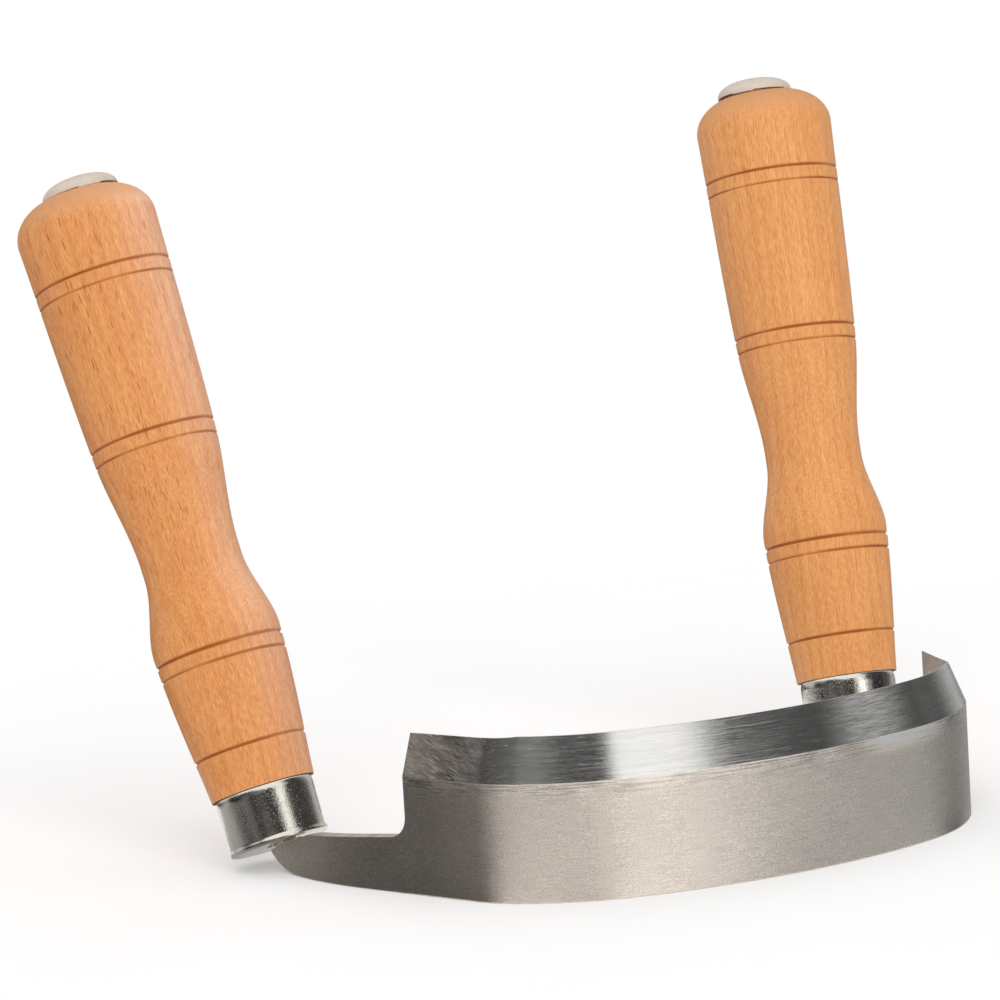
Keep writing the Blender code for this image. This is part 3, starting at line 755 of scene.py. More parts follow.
def handle_outline(settings):
    """The turned outline without its grooves, as (radius, height) from the cap down to the ferrule."""
    handle = settings.handle
    foot, bulge, neck, waist, crown = wood_heights(settings)
    start = crown_start(settings)
    points = []
    for i in range(CROWN_STEPS + 1):
        turn = start + (math.pi / 2 - start) * i / CROWN_STEPS
        radius = handle.crown_arc_offset + (handle.crown_radius - handle.crown_arc_offset) * math.sin(turn)
        points.append((radius, crown + handle.crown_arc_rise * math.cos(turn)))
    half_neck = handle.neck_length / 2
    foot_radius = settings.fitting.ferrule_radius + handle.wood_proud
    # Radius, height and slope at the end of each curve, and its steps.
    curves = (
        (handle.waist_radius, waist, WAIST_SLOPE, 30),
        (handle.neck_radius, neck + half_neck, NECK_SLOPE, 30),
        (handle.neck_radius, neck - half_neck, NECK_SLOPE, 3),
        (handle.bulge_radius, bulge + handle.bulge_round, BULGE_TOP_SLOPE, 24),
        (handle.bulge_radius, bulge - handle.bulge_round, BULGE_FOOT_SLOPE, 8),
        (foot_radius, foot, FOOT_SLOPE, 26),
    )
    slope = CROWN_SLOPE
    for radius, height, end_slope, steps in curves:
        points += hermite(points[-1], (radius, height), slope, end_slope, steps)
        slope = end_slope
    return points


def groove_places(settings):
    """(height, half width, depth, burn) of each groove; the upper one of a pair is the bolder."""
    handle = settings.handle
    _, bulge, _, waist, crown = wood_heights(settings)
    half = handle.groove_width / 2
    depth = handle.groove_depth
    fine = handle.fine_groove
    places = [(settings.fitting.ferrule_length + handle.groove_above_ferrule, half, depth, 1.0)]
    pairs = (
        bulge - handle.grooves_below_bulge,
        waist + handle.grooves_above_waist,
        crown - handle.grooves_below_crown,
    )
    for middle, bold in zip(pairs, GROOVE_BOLDNESS):
        places.append((middle + handle.groove_pitch / 2, half * bold, depth * bold, 1.0))
        places.append((middle - handle.groove_pitch / 2, half * bold * fine, depth * bold * fine, FINE_BURN))
    return places


def radius_at(points, height):
    """Radius of the outline at a height."""
    for (r0, z0), (r1, z1) in zip(points, points[1:]):
        if z1 <= height <= z0:
            return r1 + (r0 - r1) * (height - z1) / (z0 - z1)
    raise ValueError("height outside the outline")


def handle_rows(settings):
    """The closed profile of a handle as (radius, height), with (depth, burn) in the grooves,
    and painted shadow under the foot and inside the ferrule.
    """
    fitting = settings.fitting
    blade = settings.blade
    points = handle_outline(settings)
    places = groove_places(settings)
    rows = [(r, z) for r, z in points if all(abs(z - p[0]) > p[1] * GROOVE_MARGIN for p in places)]
    for middle, half, depth, char in places:
        for i in range(-GROOVE_STEPS, GROOVE_STEPS + 1):
            height = middle + half * i / GROOVE_STEPS
            part = 1 - (i / GROOVE_STEPS) ** 2
            rows.append((radius_at(points, height), height, depth * part, char * part))
    rows.sort(key=lambda row: -row[1])
    thick = blade.thickness * SPIKE_THICKNESS
    root_bore = math.hypot(blade.spike_eccentric + blade.spike_width / 2, thick / 2) + 2 * CLEARANCE
    tip_bore = math.hypot(blade.spike_width * SPIKE_TIP_WIDTH / 2, thick / 2) + fitting.cap_inset + CLEARANCE
    bore = max(tip_bore, math.hypot(blade.spike_width / 2, thick / 2) + CLEARANCE)
    spigot = fitting.ferrule_radius - fitting.ferrule_wall - CLEARANCE
    spigot_foot = spigot - fitting.ferrule_taper
    foot = fitting.ferrule_wall + CLEARANCE
    corner = fitting.ferrule_inner_round
    under, under_height = points[-1]
    inside = [(under - fitting.ferrule_seat, under_height), (spigot, under_height)]
    inside += [(spigot_foot, foot + corner), (spigot_foot - corner, foot), (root_bore, foot)]
    # Under the foot and inside the ferrule the wood takes painted shadow through the burn layer.
    rows += [(r, z, 0.0, FOOT_SHADE) for r, z in inside]
    rows += [(root_bore, blade.spike_centred_at), (bore, blade.spike_centred_at + BORE_TAPER)]
    return rows + [(bore, points[0][1])]


def ferrule_rows(settings):
    """The profile of a ferrule, a drawn cup with a rounded rim and a beaded foot, from its inside round."""
    fitting = settings.fitting
    top = wood_heights(settings)[0] - fitting.ferrule_seat
    wall = fitting.ferrule_wall
    foot_radius = fitting.ferrule_radius - fitting.ferrule_taper
    inner = foot_radius - wall
    inner_round = fitting.ferrule_inner_round
    corner = fitting.ferrule_foot_round
    bead = fitting.ferrule_bead
    points = [(0.0, wall), (inner - inner_round, wall), (inner, wall + inner_round)]
    points.append((fitting.ferrule_radius - wall, top))
    for turn in quarter(RIM_STEPS):
        inward = fitting.ferrule_rim_width * (1 - math.sin(turn))
        drop = fitting.ferrule_rim_height * (1 - math.cos(turn))
        points.append((fitting.ferrule_radius - inward, top - drop))
    for i in range(BEAD_STEPS + 1):
        part = i / BEAD_STEPS
        points.append((foot_radius + bead * soft_step(part), corner + BEAD_SPREAD * bead * (1 - part)))
    for turn in quarter(RIM_STEPS)[1:]:
        points.append((foot_radius + bead - corner * (1 - math.cos(turn)), corner * (1 - math.sin(turn))))
    return points + [(0.0, 0.0)]


def spike_outward(settings, side):
    """Direction square to the handle's axis in which the tang runs on past it."""
    x, y, turn, _ = half_plan(settings.blade)[-1]
    at, reach = tang_path(settings.blade, side, Vector((side.sign * x, y)), turn)
    heading = at(reach)[2].to_3d()
    return (heading - side.axis * heading.dot(side.axis)).normalized()


def ferrule_hole_mesh(settings, name):
    """A round cutter for the hole in the ferrule's foot."""
    blade = settings.blade
    radius = math.hypot(blade.spike_width / 2, blade.thickness / 2) + CLEARANCE
    reach = 2 * settings.fitting.ferrule_wall
    return rod_mesh(name, radius, -reach, reach, HOLE_SIDES)


def dome(radius, rise, base, steps):
    """Outer side of a dome from its top down to its rim."""
    points = []
    for turn in quarter(steps):
        out = radius * math.sin(turn) ** DOME_POWER
        points.append((out, base + rise * max(0.0, math.cos(turn)) ** DOME_POWER))
    return points


def cap_rows(settings):
    """The profile of an end cap, a domed shell with a straight skirt, from its top round to its inside."""
    fitting = settings.fitting
    base = cap_base(settings)
    skirt = base + fitting.cap_notch_height
    rise = fitting.cap_height - fitting.cap_notch_height
    inside = fitting.cap_radius - fitting.cap_wall
    points = dome(fitting.cap_radius, rise, skirt, CAP_OUTER_STEPS)
    points += [(fitting.cap_radius, base), (inside, base)]
    return points + dome(inside, rise - fitting.cap_wall, skirt, CAP_INNER_STEPS)[::-1]


def notch_mesh(settings, name):
    """Blocks that cut the cap's rim into tabs."""
    fitting = settings.fitting
    base = cap_base(settings)
    half = math.pi / fitting.cap_tabs * fitting.cap_notch_share
    outside = fitting.cap_radius + 2 * fitting.cap_wall
    inside = fitting.cap_radius - 2 * fitting.cap_wall
    corners = [(outside, half * (i / NOTCH_STEPS - 1)) for i in range(2 * NOTCH_STEPS + 1)]
    corners += [(inside, half), (inside, -half)]
    bm = bmesh.new()
    for i in range(fitting.cap_tabs):
        middle = math.tau * (i + 0.5) / fitting.cap_tabs
        turned = [(radius, middle + turn) for radius, turn in corners]
        rings = []
        for z in (base - fitting.cap_notch_height, base + fitting.cap_notch_height):
            rings.append([bm.verts.new((r * math.cos(t), r * math.sin(t), z)) for r, t in turned])
        low, high = rings
        skin(bm, low, high)
        bm.faces.new(low)
        bm.faces.new(high)
    return mesh_from_bmesh(name, bm)


# Finishes.


class Nodes:
    """Adds nodes to one tree, with their values and links, by short calls."""

    def __init__(self, tree):
        self.tree = tree

    def put(self, socket, value):
        if isinstance(value, bpy.types.NodeSocket):
            self.tree.links.new(value, socket)
        elif socket.type == "RGBA":
            socket.default_value = (*value[:3], 1.0)
        else:
            socket.default_value = value

    def fill(self, node, values):
        for name, value in values.items():
            self.put(node.inputs[name], value)

    def add(self, kind, values=None, **settings):
        node = self.tree.nodes.new("ShaderNode" + kind)
        for name, value in settings.items():
            setattr(node, name, value)
        self.fill(node, values or {})
        return node

    def group(self, name, values):
        return self.add("Group", values, node_tree=bpy.data.node_groups[name]).outputs

    def attribute(self, name):
        return self.add("Attribute", attribute_name=name).outputs

    def math(self, operation, *values):
        return self.add("Math", dict(enumerate(values)), operation=operation).outputs[0]

    def product(self, first, *others):
        for value in others:
            first = self.math("MULTIPLY", first, value)
        return first

    def total(self, first, *parts):
        """A first value and each of the (value, weight) parts added up."""
        for value, weight in parts:
            first = self.math("MULTIPLY_ADD", value, weight, first)
        return first

    def vector(self, operation, *values):
        return self.add("VectorMath", dict(enumerate(values)), operation=operation).outputs["Vector"]

    def measure(self, operation, *values):
        """A number taken from vectors."""
        return self.add("VectorMath", dict(enumerate(values)), operation=operation).outputs["Value"]

    def split(self, place):
        return self.add("SeparateXYZ", {0: place}).outputs

    def join(self, x, y, z):
        return self.add("CombineXYZ", {0: x, 1: y, 2: z}).outputs[0]

    def slant(self, place, radians, axis):
        return self.add("VectorRotate", {"Vector": place, "Angle": radians}, rotation_type=axis).outputs[0]

    def mix(self, part, first, second, blend="MIX"):
        values = {0: part, 6: first, 7: second}
        return self.add("Mix", values, data_type="RGBA", blend_type=blend).outputs[2]

    def tint(self, base, shade):
        """A colour made darker or lighter by a shade."""
        return self.mix(1.0, base, self.join(shade, shade, shade), "MULTIPLY")

    def between(self, value, low, high, low_out=0.0, high_out=1.0):
        values = {"Value": value, "From Min": low, "From Max": high, "To Min": low_out, "To Max": high_out}
        return self.add("MapRange", values, interpolation_type="SMOOTHSTEP").outputs["Result"]

    def near(self, value, middle, far, close):
        """Rises from 0 to 1 as the value comes close to the middle."""
        return self.between(self.math("ABSOLUTE", self.math("SUBTRACT", value, middle)), far, close)

    def noise(self, place, scale=1.0, detail=2.0, roughness=0.5):
        values = {"Vector": place, "Scale": scale, "Detail": detail, "Roughness": roughness}
        return self.add("TexNoise", values).outputs["Fac"]

    def streaks(self, place, length_mm, pitch_mm):
        return self.group("streaks", {"Place": place, "Length": length_mm, "Pitch": pitch_mm})["Line"]

    def marks(self, place, size_mm, low=0.4, high=0.7):
        values = {"Place": place, "Size": size_mm, "Low": low, "High": high}
        return self.group("handling_marks", values)["Mark"]


def new_group(name, inputs, outputs):
    """An empty node group with its sockets: the helper, the input sockets and the output sockets."""
    tree = bpy.data.node_groups.new(name, "ShaderNodeTree")
    for label, kind, default in inputs:
        socket = tree.interface.new_socket(label, in_out="INPUT", socket_type="NodeSocket" + kind)
        socket.default_value = default
    for label, kind in outputs:
        tree.interface.new_socket(label, in_out="OUTPUT", socket_type="NodeSocket" + kind)
    start = tree.nodes.new("NodeGroupInput").outputs
    end = tree.nodes.new("NodeGroupOutput").inputs
    return Nodes(tree), start, end


def make_streaks_group():
    """Long thin lines along X, such as grinding lines or wood fibres, from a place in millimetres."""
    inputs = [("Place", "Vector", (0, 0, 0)), ("Length", "Float", 10.0), ("Pitch", "Float", 0.2)]
    nodes, start, end = new_group("streaks", inputs, [("Line", "Float")])
    size = nodes.join(start["Length"], start["Pitch"], start["Pitch"])
    line = nodes.noise(nodes.vector("DIVIDE", start["Place"], size), detail=3.0, roughness=0.6)
    nodes.put(end["Line"], nodes.between(line, 0.28, 0.72))


def make_marks_group():
    """Soft cloudy marks of handling, from a place in millimetres."""
    inputs = [("Place", "Vector", (0, 0, 0)), ("Size", "Float", 8.0)]
    inputs += [("Low", "Float", 0.4), ("High", "Float", 0.7)]
    nodes, start, end = new_group("handling_marks", inputs, [("Mark", "Float")])
    scale = nodes.math("DIVIDE", 1.0, start["Size"])
    cloud = nodes.noise(start["Place"], scale, detail=4.0, roughness=0.6)
    nodes.put(end["Mark"], nodes.between(cloud, start["Low"], start["High"]))


def make_beech_group():
    """Beech cut along Z: growth rings round a distant pith, fibres, and short dark flecks."""
    inputs = [
        ("Place", "Vector", (0, 0, 0)),
        ("Pith", "Vector", (40, 0, 0)),
        ("Ring Pitch", "Float", 2.4),
        ("Fleck", "Float", 0.6),
        ("Depth", "Float", 0.0),
        ("Light", "Color", WHITE),
        ("Dark", "Color", BLACK),
        ("Fleck Colour", "Color", BLACK),
    ]
    outputs = [("Colour", "Color"), ("Height", "Float"), ("Line", "Float")]
    nodes, start, end = new_group("beech", inputs, outputs)
    place = start["Place"]
    x, y, z = nodes.split(place)
    upright = nodes.join(z, x, y)
    flat = nodes.vector("MULTIPLY", place, (1, 1, 0))
    from_pith = nodes.vector("SUBTRACT", flat, start["Pith"])
    waver = nodes.noise(nodes.vector("MULTIPLY", place, (0.09, 0.09, 0.014)))
    distance = nodes.total(nodes.measure("LENGTH", from_pith), (waver, 5.0))
    ring = nodes.math("FRACT", nodes.math("DIVIDE", distance, start["Ring Pitch"]))
    late = nodes.math("MINIMUM", nodes.math("POWER", ring, 3.0), nodes.between(ring, 1.0, 0.86))
    fibre = nodes.streaks(upright, 2.0, 0.16)
    band = nodes.streaks(upright, 34.0, 1.7)
    dark = nodes.total(start["Depth"], (band, 0.22), (fibre, 0.74), (late, 0.22))
    # Flecks: long cells that follow the turned surface, some of them chosen, on the sides that face the pith.
    outward = nodes.vector("NORMALIZE", flat)
    reach = nodes.total(21.0, (nodes.measure("LENGTH", flat), 0.5))
    across = nodes.add("VectorMath", {0: outward, "Scale": reach}, operation="SCALE").outputs["Vector"]
    cells = nodes.vector("ADD", across, nodes.vector("MULTIPLY", place, (0, 0, 0.2)))
    cell = nodes.add("TexVoronoi", {"Vector": cells, "Scale": 1.0}).outputs
    chosen = nodes.between(nodes.add("SeparateColor", {0: cell["Color"]}).outputs[0], 0.3, 0.7)
    facing = nodes.measure("DOT_PRODUCT", outward, nodes.vector("NORMALIZE", from_pith))
    facing = nodes.between(nodes.math("ABSOLUTE", facing), 0.0, 0.45)
    higher = nodes.between(z, 40.0, 80.0, 0.5, 1.0)
    dash = nodes.between(cell["Distance"], 0.31, 0.15)
    dash = nodes.product(dash, chosen, facing, start["Fleck"], higher)
    tone = nodes.mix(dark, start["Light"], start["Dark"])
    nodes.put(end["Colour"], nodes.mix(dash, tone, start["Fleck Colour"]))
    nodes.put(end["Height"], nodes.product(nodes.math("SUBTRACT", fibre, dash), 0.5))
    nodes.put(end["Line"], fibre)


def make_groups():
    """Makes the node groups that the finishes share, once."""
    if "beech" not in bpy.data.node_groups:
        make_streaks_group()
        make_marks_group()
        make_beech_group()


def new_material(name):
    """A material with its node helper and its shader."""
    material = bpy.data.materials.new(name)
    material.use_nodes = True
    return material, Nodes(material.node_tree), material.node_tree.nodes["Principled BSDF"]


def bump(nodes, height, depth):
    values = {"Height": height, "Distance": depth, "Strength": 1.0}
    return nodes.add("Bump", values).outputs["Normal"]


def shared_place(nodes):
    """Place in the shared frame, in millimetres."""
    return nodes.vector("MULTIPLY", nodes.add("TexCoord").outputs["Object"], (MM, MM, MM))


def own_place(nodes):
    """Place on the piece in its own frame, in millimetres."""
    return nodes.vector("MULTIPLY", nodes.attribute("own_place")["Vector"], (MM, MM, MM))


def beech_material(finish, side_name, crown):
    """Oiled beech with burnt grooves and painted shadow under the foot and inside the ferrule; the crown shows
    duller end grain.
    """
    material, nodes, shader = new_material(side_name + "_beech")
    shift, grain = GRAINS[side_name]
    place = own_place(nodes)
    shifted = nodes.vector("ADD", place, shift)
    colours = {"Light": finish.beech_light, "Dark": finish.beech_dark, "Fleck Colour": finish.beech_fleck}
    wood = nodes.group("beech", {"Place": shifted, **grain, **colours})
    end = nodes.between(nodes.split(place)[2], crown * MM, crown * MM + CROWN_FADE, 0.0, 0.75)
    burn = nodes.attribute("burn")["Fac"]
    char = nodes.between(burn, 0.3, 0.9, 0.0, 0.97)
    # Painted shadow on the wood under the foot and inside the ferrule, where the layer holds its highest
    # values.
    under = nodes.between(burn, 1.05, 1.5)
    base = nodes.mix(end, wood["Colour"], finish.beech_end)
    base = nodes.mix(char, base, finish.groove_burn)
    marks = nodes.marks(shifted, 9.0)
    look = {
        "Base Color": nodes.mix(under, base, finish.foot_shadow),
        "Roughness": nodes.total(0.40, (wood["Line"], 0.10), (marks, -0.06), (char, 0.2), (end, 0.5)),
        "Normal": bump(nodes, wood["Height"], depth=0.00003),
        "Coat Weight": nodes.product(nodes.math("SUBTRACT", 0.75, end), 0.12),
        "Specular IOR Level": 0.3,
        "Coat Roughness": 0.3,
    }
    nodes.fill(shader, look)
    return material


def blade_place(nodes):
    """(distance along the blade, height, a little of the depth) in millimetres, and the first two alone."""
    along = nodes.product(nodes.attribute("along")["Fac"], MM)
    _, y, z = nodes.split(shared_place(nodes))
    return nodes.join(along, z, nodes.product(y, DEPTH_SHARE)), along, z


def ground_steel_material(blade, finish):
    """Satin steel, ground along the blade, with coarser lines just under the bevel, painted highlights in
    patches there and along the bevel line, and painted shade at the left end.
    """
    material, nodes, shader = new_material("ground_steel")
    place, along, z = blade_place(nodes)
    top = blade.bevel_height * MM
    fine = nodes.streaks(place, 5.0, 0.13)
    grain = nodes.noise(nodes.vector("MULTIPLY", place, (3.0, 7.5, 7.5)), roughness=0.6)
    speck = nodes.between(grain, 0.32, 0.68)
    marks = nodes.marks(place, 14.0, 0.35)
    zone = nodes.between(z, top - 5.0, top - 0.3)
    upper = nodes.product(zone, nodes.between(nodes.streaks(place, 14.0, 0.24), 0.5, 0.75))
    # Painted brightening in patches under the bevel, standing in for a brighter reflection there.
    painted_patch = nodes.product(zone, nodes.marks(place, 7.0, 0.3))
    # A painted sheen patch under the bevel.
    worn = nodes.product(zone, nodes.near(along, FACE_SHEEN, 18.0, 4.0))
    # A painted glint along the bevel line.
    painted_glint = nodes.product(nodes.between(z, top - 0.32, top - 0.12), nodes.between(fine, 0.1, 0.6))
    # The shade takes in the painted brightening, glint and sheen, and the painted shade of the left end.
    shade = nodes.total(0.64, (fine, 0.22), (speck, 0.42), (marks, 0.07), (painted_patch, 0.26), (upper, -0.46))
    shade = nodes.total(shade, (painted_glint, 0.4), (worn, 0.6), (nodes.between(along, *LEFT_END_SHADE), -0.2))
    tone = nodes.mix(nodes.between(along, *CLEAN_STEEL), finish.ground_steel, finish.clean_steel)
    height = nodes.total(fine, (upper, 0.6), (grain, 0.6))
    look = {
        "Base Color": nodes.tint(tone, shade),
        "Roughness": nodes.total(0.35, (fine, 0.10), (marks, 0.05), (upper, -0.08)),
        "Normal": bump(nodes, height, depth=0.000006),
        "Metallic": 1.0,
    }
    nodes.fill(shader, look)
    return material


def inner_steel_material(finish):
    """Brownish satin steel of the hollow side, ground along the blade."""
    material, nodes, shader = new_material("inner_steel")
    place, _, _ = blade_place(nodes)
    fine = nodes.streaks(place, 6.0, 0.16)
    marks = nodes.marks(place, 11.0, 0.3)
    grain = nodes.noise(nodes.vector("MULTIPLY", place, (2.2, 4.2, 4.2)), detail=1.0)
    shade = nodes.total(0.72, (fine, 0.2), (nodes.between(grain, 0.3, 0.7), 0.26), (marks, 0.1))
    look = {
        "Base Color": nodes.tint(finish.inner_steel, shade),
        "Roughness": nodes.total(0.36, (fine, 0.10), (marks, 0.06)),
        "Normal": bump(nodes, fine, depth=0.000006),
        "Metallic": 1.0,
    }
    nodes.fill(shader, look)
    return material


def bevel_steel_material(finish):
    """Polished steel with fine lengthwise scratches, cloudy where the left end has been touched up, and with
    painted shade at the fold of the left corner.
    """
    material, nodes, shader = new_material("bevel_steel")
    place, along, _ = blade_place(nodes)
    fine = nodes.streaks(place, 5.0, 0.10)
    coarse = nodes.streaks(place, 16.0, 0.5)
    touched = nodes.between(along, *TOUCHED_UP)
    slanted = nodes.slant(place, 0.36, "Z_AXIS")
    marks = nodes.marks(nodes.vector("MULTIPLY", slanted, (0.3, 1.0, 1.0)), 3.2, 0.32, 0.66)
    cloud = nodes.product(touched, nodes.math("SUBTRACT", 1.0, marks))
    cross = nodes.product(touched, nodes.between(nodes.streaks(slanted, 4.5, 0.16), 0.62, 0.95))
    scratch = nodes.between(nodes.streaks(place, 6.0, 0.1), 0.75, 1.0)
    scratch = nodes.math("MAXIMUM", scratch, cross)
    # Painted shade at the fold of the left corner.
    fold_shade = nodes.near(along, LEFT_FOLD, 10.0, 1.0)
    shade = nodes.total(0.8, (fine, 0.12), (coarse, 0.12), (cloud, -0.5), (fold_shade, -0.3))
    shade = nodes.total(shade, (cross, 0.6), (scratch, 0.08))
    tone = nodes.mix(touched, finish.bevel_steel, finish.ground_steel)
    height = nodes.total(nodes.math("ADD", fine, coarse), (scratch, 0.5))
    dull = nodes.product(nodes.near(along, BEVEL_SHEEN, 15.0, 1.0), nodes.between(fine, 0.1, 0.9, 0.16, 0.42))
    look = {
        "Base Color": nodes.tint(tone, shade),
        "Roughness": nodes.total(0.07, (fine, 0.07), (coarse, 0.06), (cloud, 0.22), (scratch, 0.10)),
        "Normal": bump(nodes, height, depth=0.000004),
        "Metallic": nodes.math("SUBTRACT", 0.955, dull),
    }
    nodes.fill(shader, look)
    return material


def nickel_material(name, base, roughness, metallic):
    """Plated metal with fine crossing scratches, shallow dents and cloudy wear."""
    material, nodes, shader = new_material(name)
    place = shared_place(nodes)
    x, y, z = nodes.split(place)
    upright = nodes.join(z, x, y)
    slanted = nodes.slant(upright, 0.7, "Y_AXIS")
    lines = nodes.math("ADD", nodes.streaks(upright, 1.6, 0.17), nodes.streaks(slanted, 1.2, 0.15))
    lines = nodes.product(lines, 0.5)
    marks = nodes.marks(place, 2.6)
    grain = nodes.noise(place, 4.0)
    shade = nodes.total(0.85, (lines, 0.14), (marks, 0.06))
    rough = nodes.total(nodes.between(grain, 0.52, 0.72, 0.6, 4.0), (lines, 0.5), (marks, 0.4))
    height = nodes.total(lines, (grain, 2.4), (marks, 2.2))
    look = {
        "Base Color": nodes.tint(base, shade),
        "Roughness": nodes.math("MINIMUM", nodes.product(rough, roughness), 1.0),
        "Normal": bump(nodes, height, depth=0.000008),
        "Metallic": metallic,
    }
    nodes.fill(shader, look)
    return material


def card_share(turn, middle, half, edge):
    """1 in front of a card, falling to 0 over its soft edge."""
    return 1 - soft_step((abs(turn - middle) - half) / edge)


def room_level(turn, height):
    """Brightness of the room at a turn and a height in degrees."""
    low, high = ROOM_DIM
    for middle, half, edge, low_level, high_level in ROOM_CARDS.values():
        part = card_share(turn, middle, half, edge)
        low += low_level * part
        high += high_level * part
    rise = soft_step((height - ROOM_STEP[0]) / (ROOM_STEP[1] - ROOM_STEP[0]))
    return low + (high - low) * rise


def floor_level(turn):
    """Brightness of the floor at a turn in degrees."""
    cards = FLOOR_CARDS.values()
    return FLOOR_DIM + sum(level * card_share(turn, *shape) for *shape, level in cards)


def away(turn, height=0.0):
    """Direction at a turn and a height in degrees."""
    aim, up = math.radians(turn), math.radians(height)
    return Vector((math.sin(aim) * math.cos(up), -math.cos(aim) * math.cos(up), math.sin(up)))


def card_material(level):
    """A graded card that metal reflects."""
    material, nodes, shader = new_material("graded_card")
    look = {
        "Base Color": BLACK,
        "Specular IOR Level": 0.0,
        "Emission Color": WHITE,
        "Emission Strength": nodes.product(nodes.attribute("glow")["Fac"], level),
    }
    nodes.fill(shader, look)
    return material


def seen_directly(nodes):
    """1 for rays from the camera and for mirrored or transmitted ones, 0 for those of matt surfaces."""
    path = nodes.add("LightPath").outputs
    seen = nodes.math("MAXIMUM", path["Is Camera Ray"], path["Is Glossy Ray"])
    return nodes.math("MAXIMUM", seen, path["Is Transmission Ray"])


# Operators.


def frame_node(name):
    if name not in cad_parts:
        raise RuntimeError("the frame has no node " + name)
    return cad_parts[name]


def place_piece(obj, materials, node):
    """Puts the piece in the shared frame, keeping its own places for the finish, and hands it over."""
    frame_node(node)
    mesh = obj.data
    if not mesh.polygons:
        raise RuntimeError(obj.name + " has no faces")
    for material in materials:
        mesh.materials.append(material)
    places = mesh.attributes.new("own_place", "FLOAT_VECTOR", "POINT")
    for vert in mesh.vertices:
        places.data[vert.index].vector = vert.co
    mesh.transform(obj.matrix_world)
    obj.matrix_world = Matrix.Identity(4)
    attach(obj, "root")
    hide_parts(node)


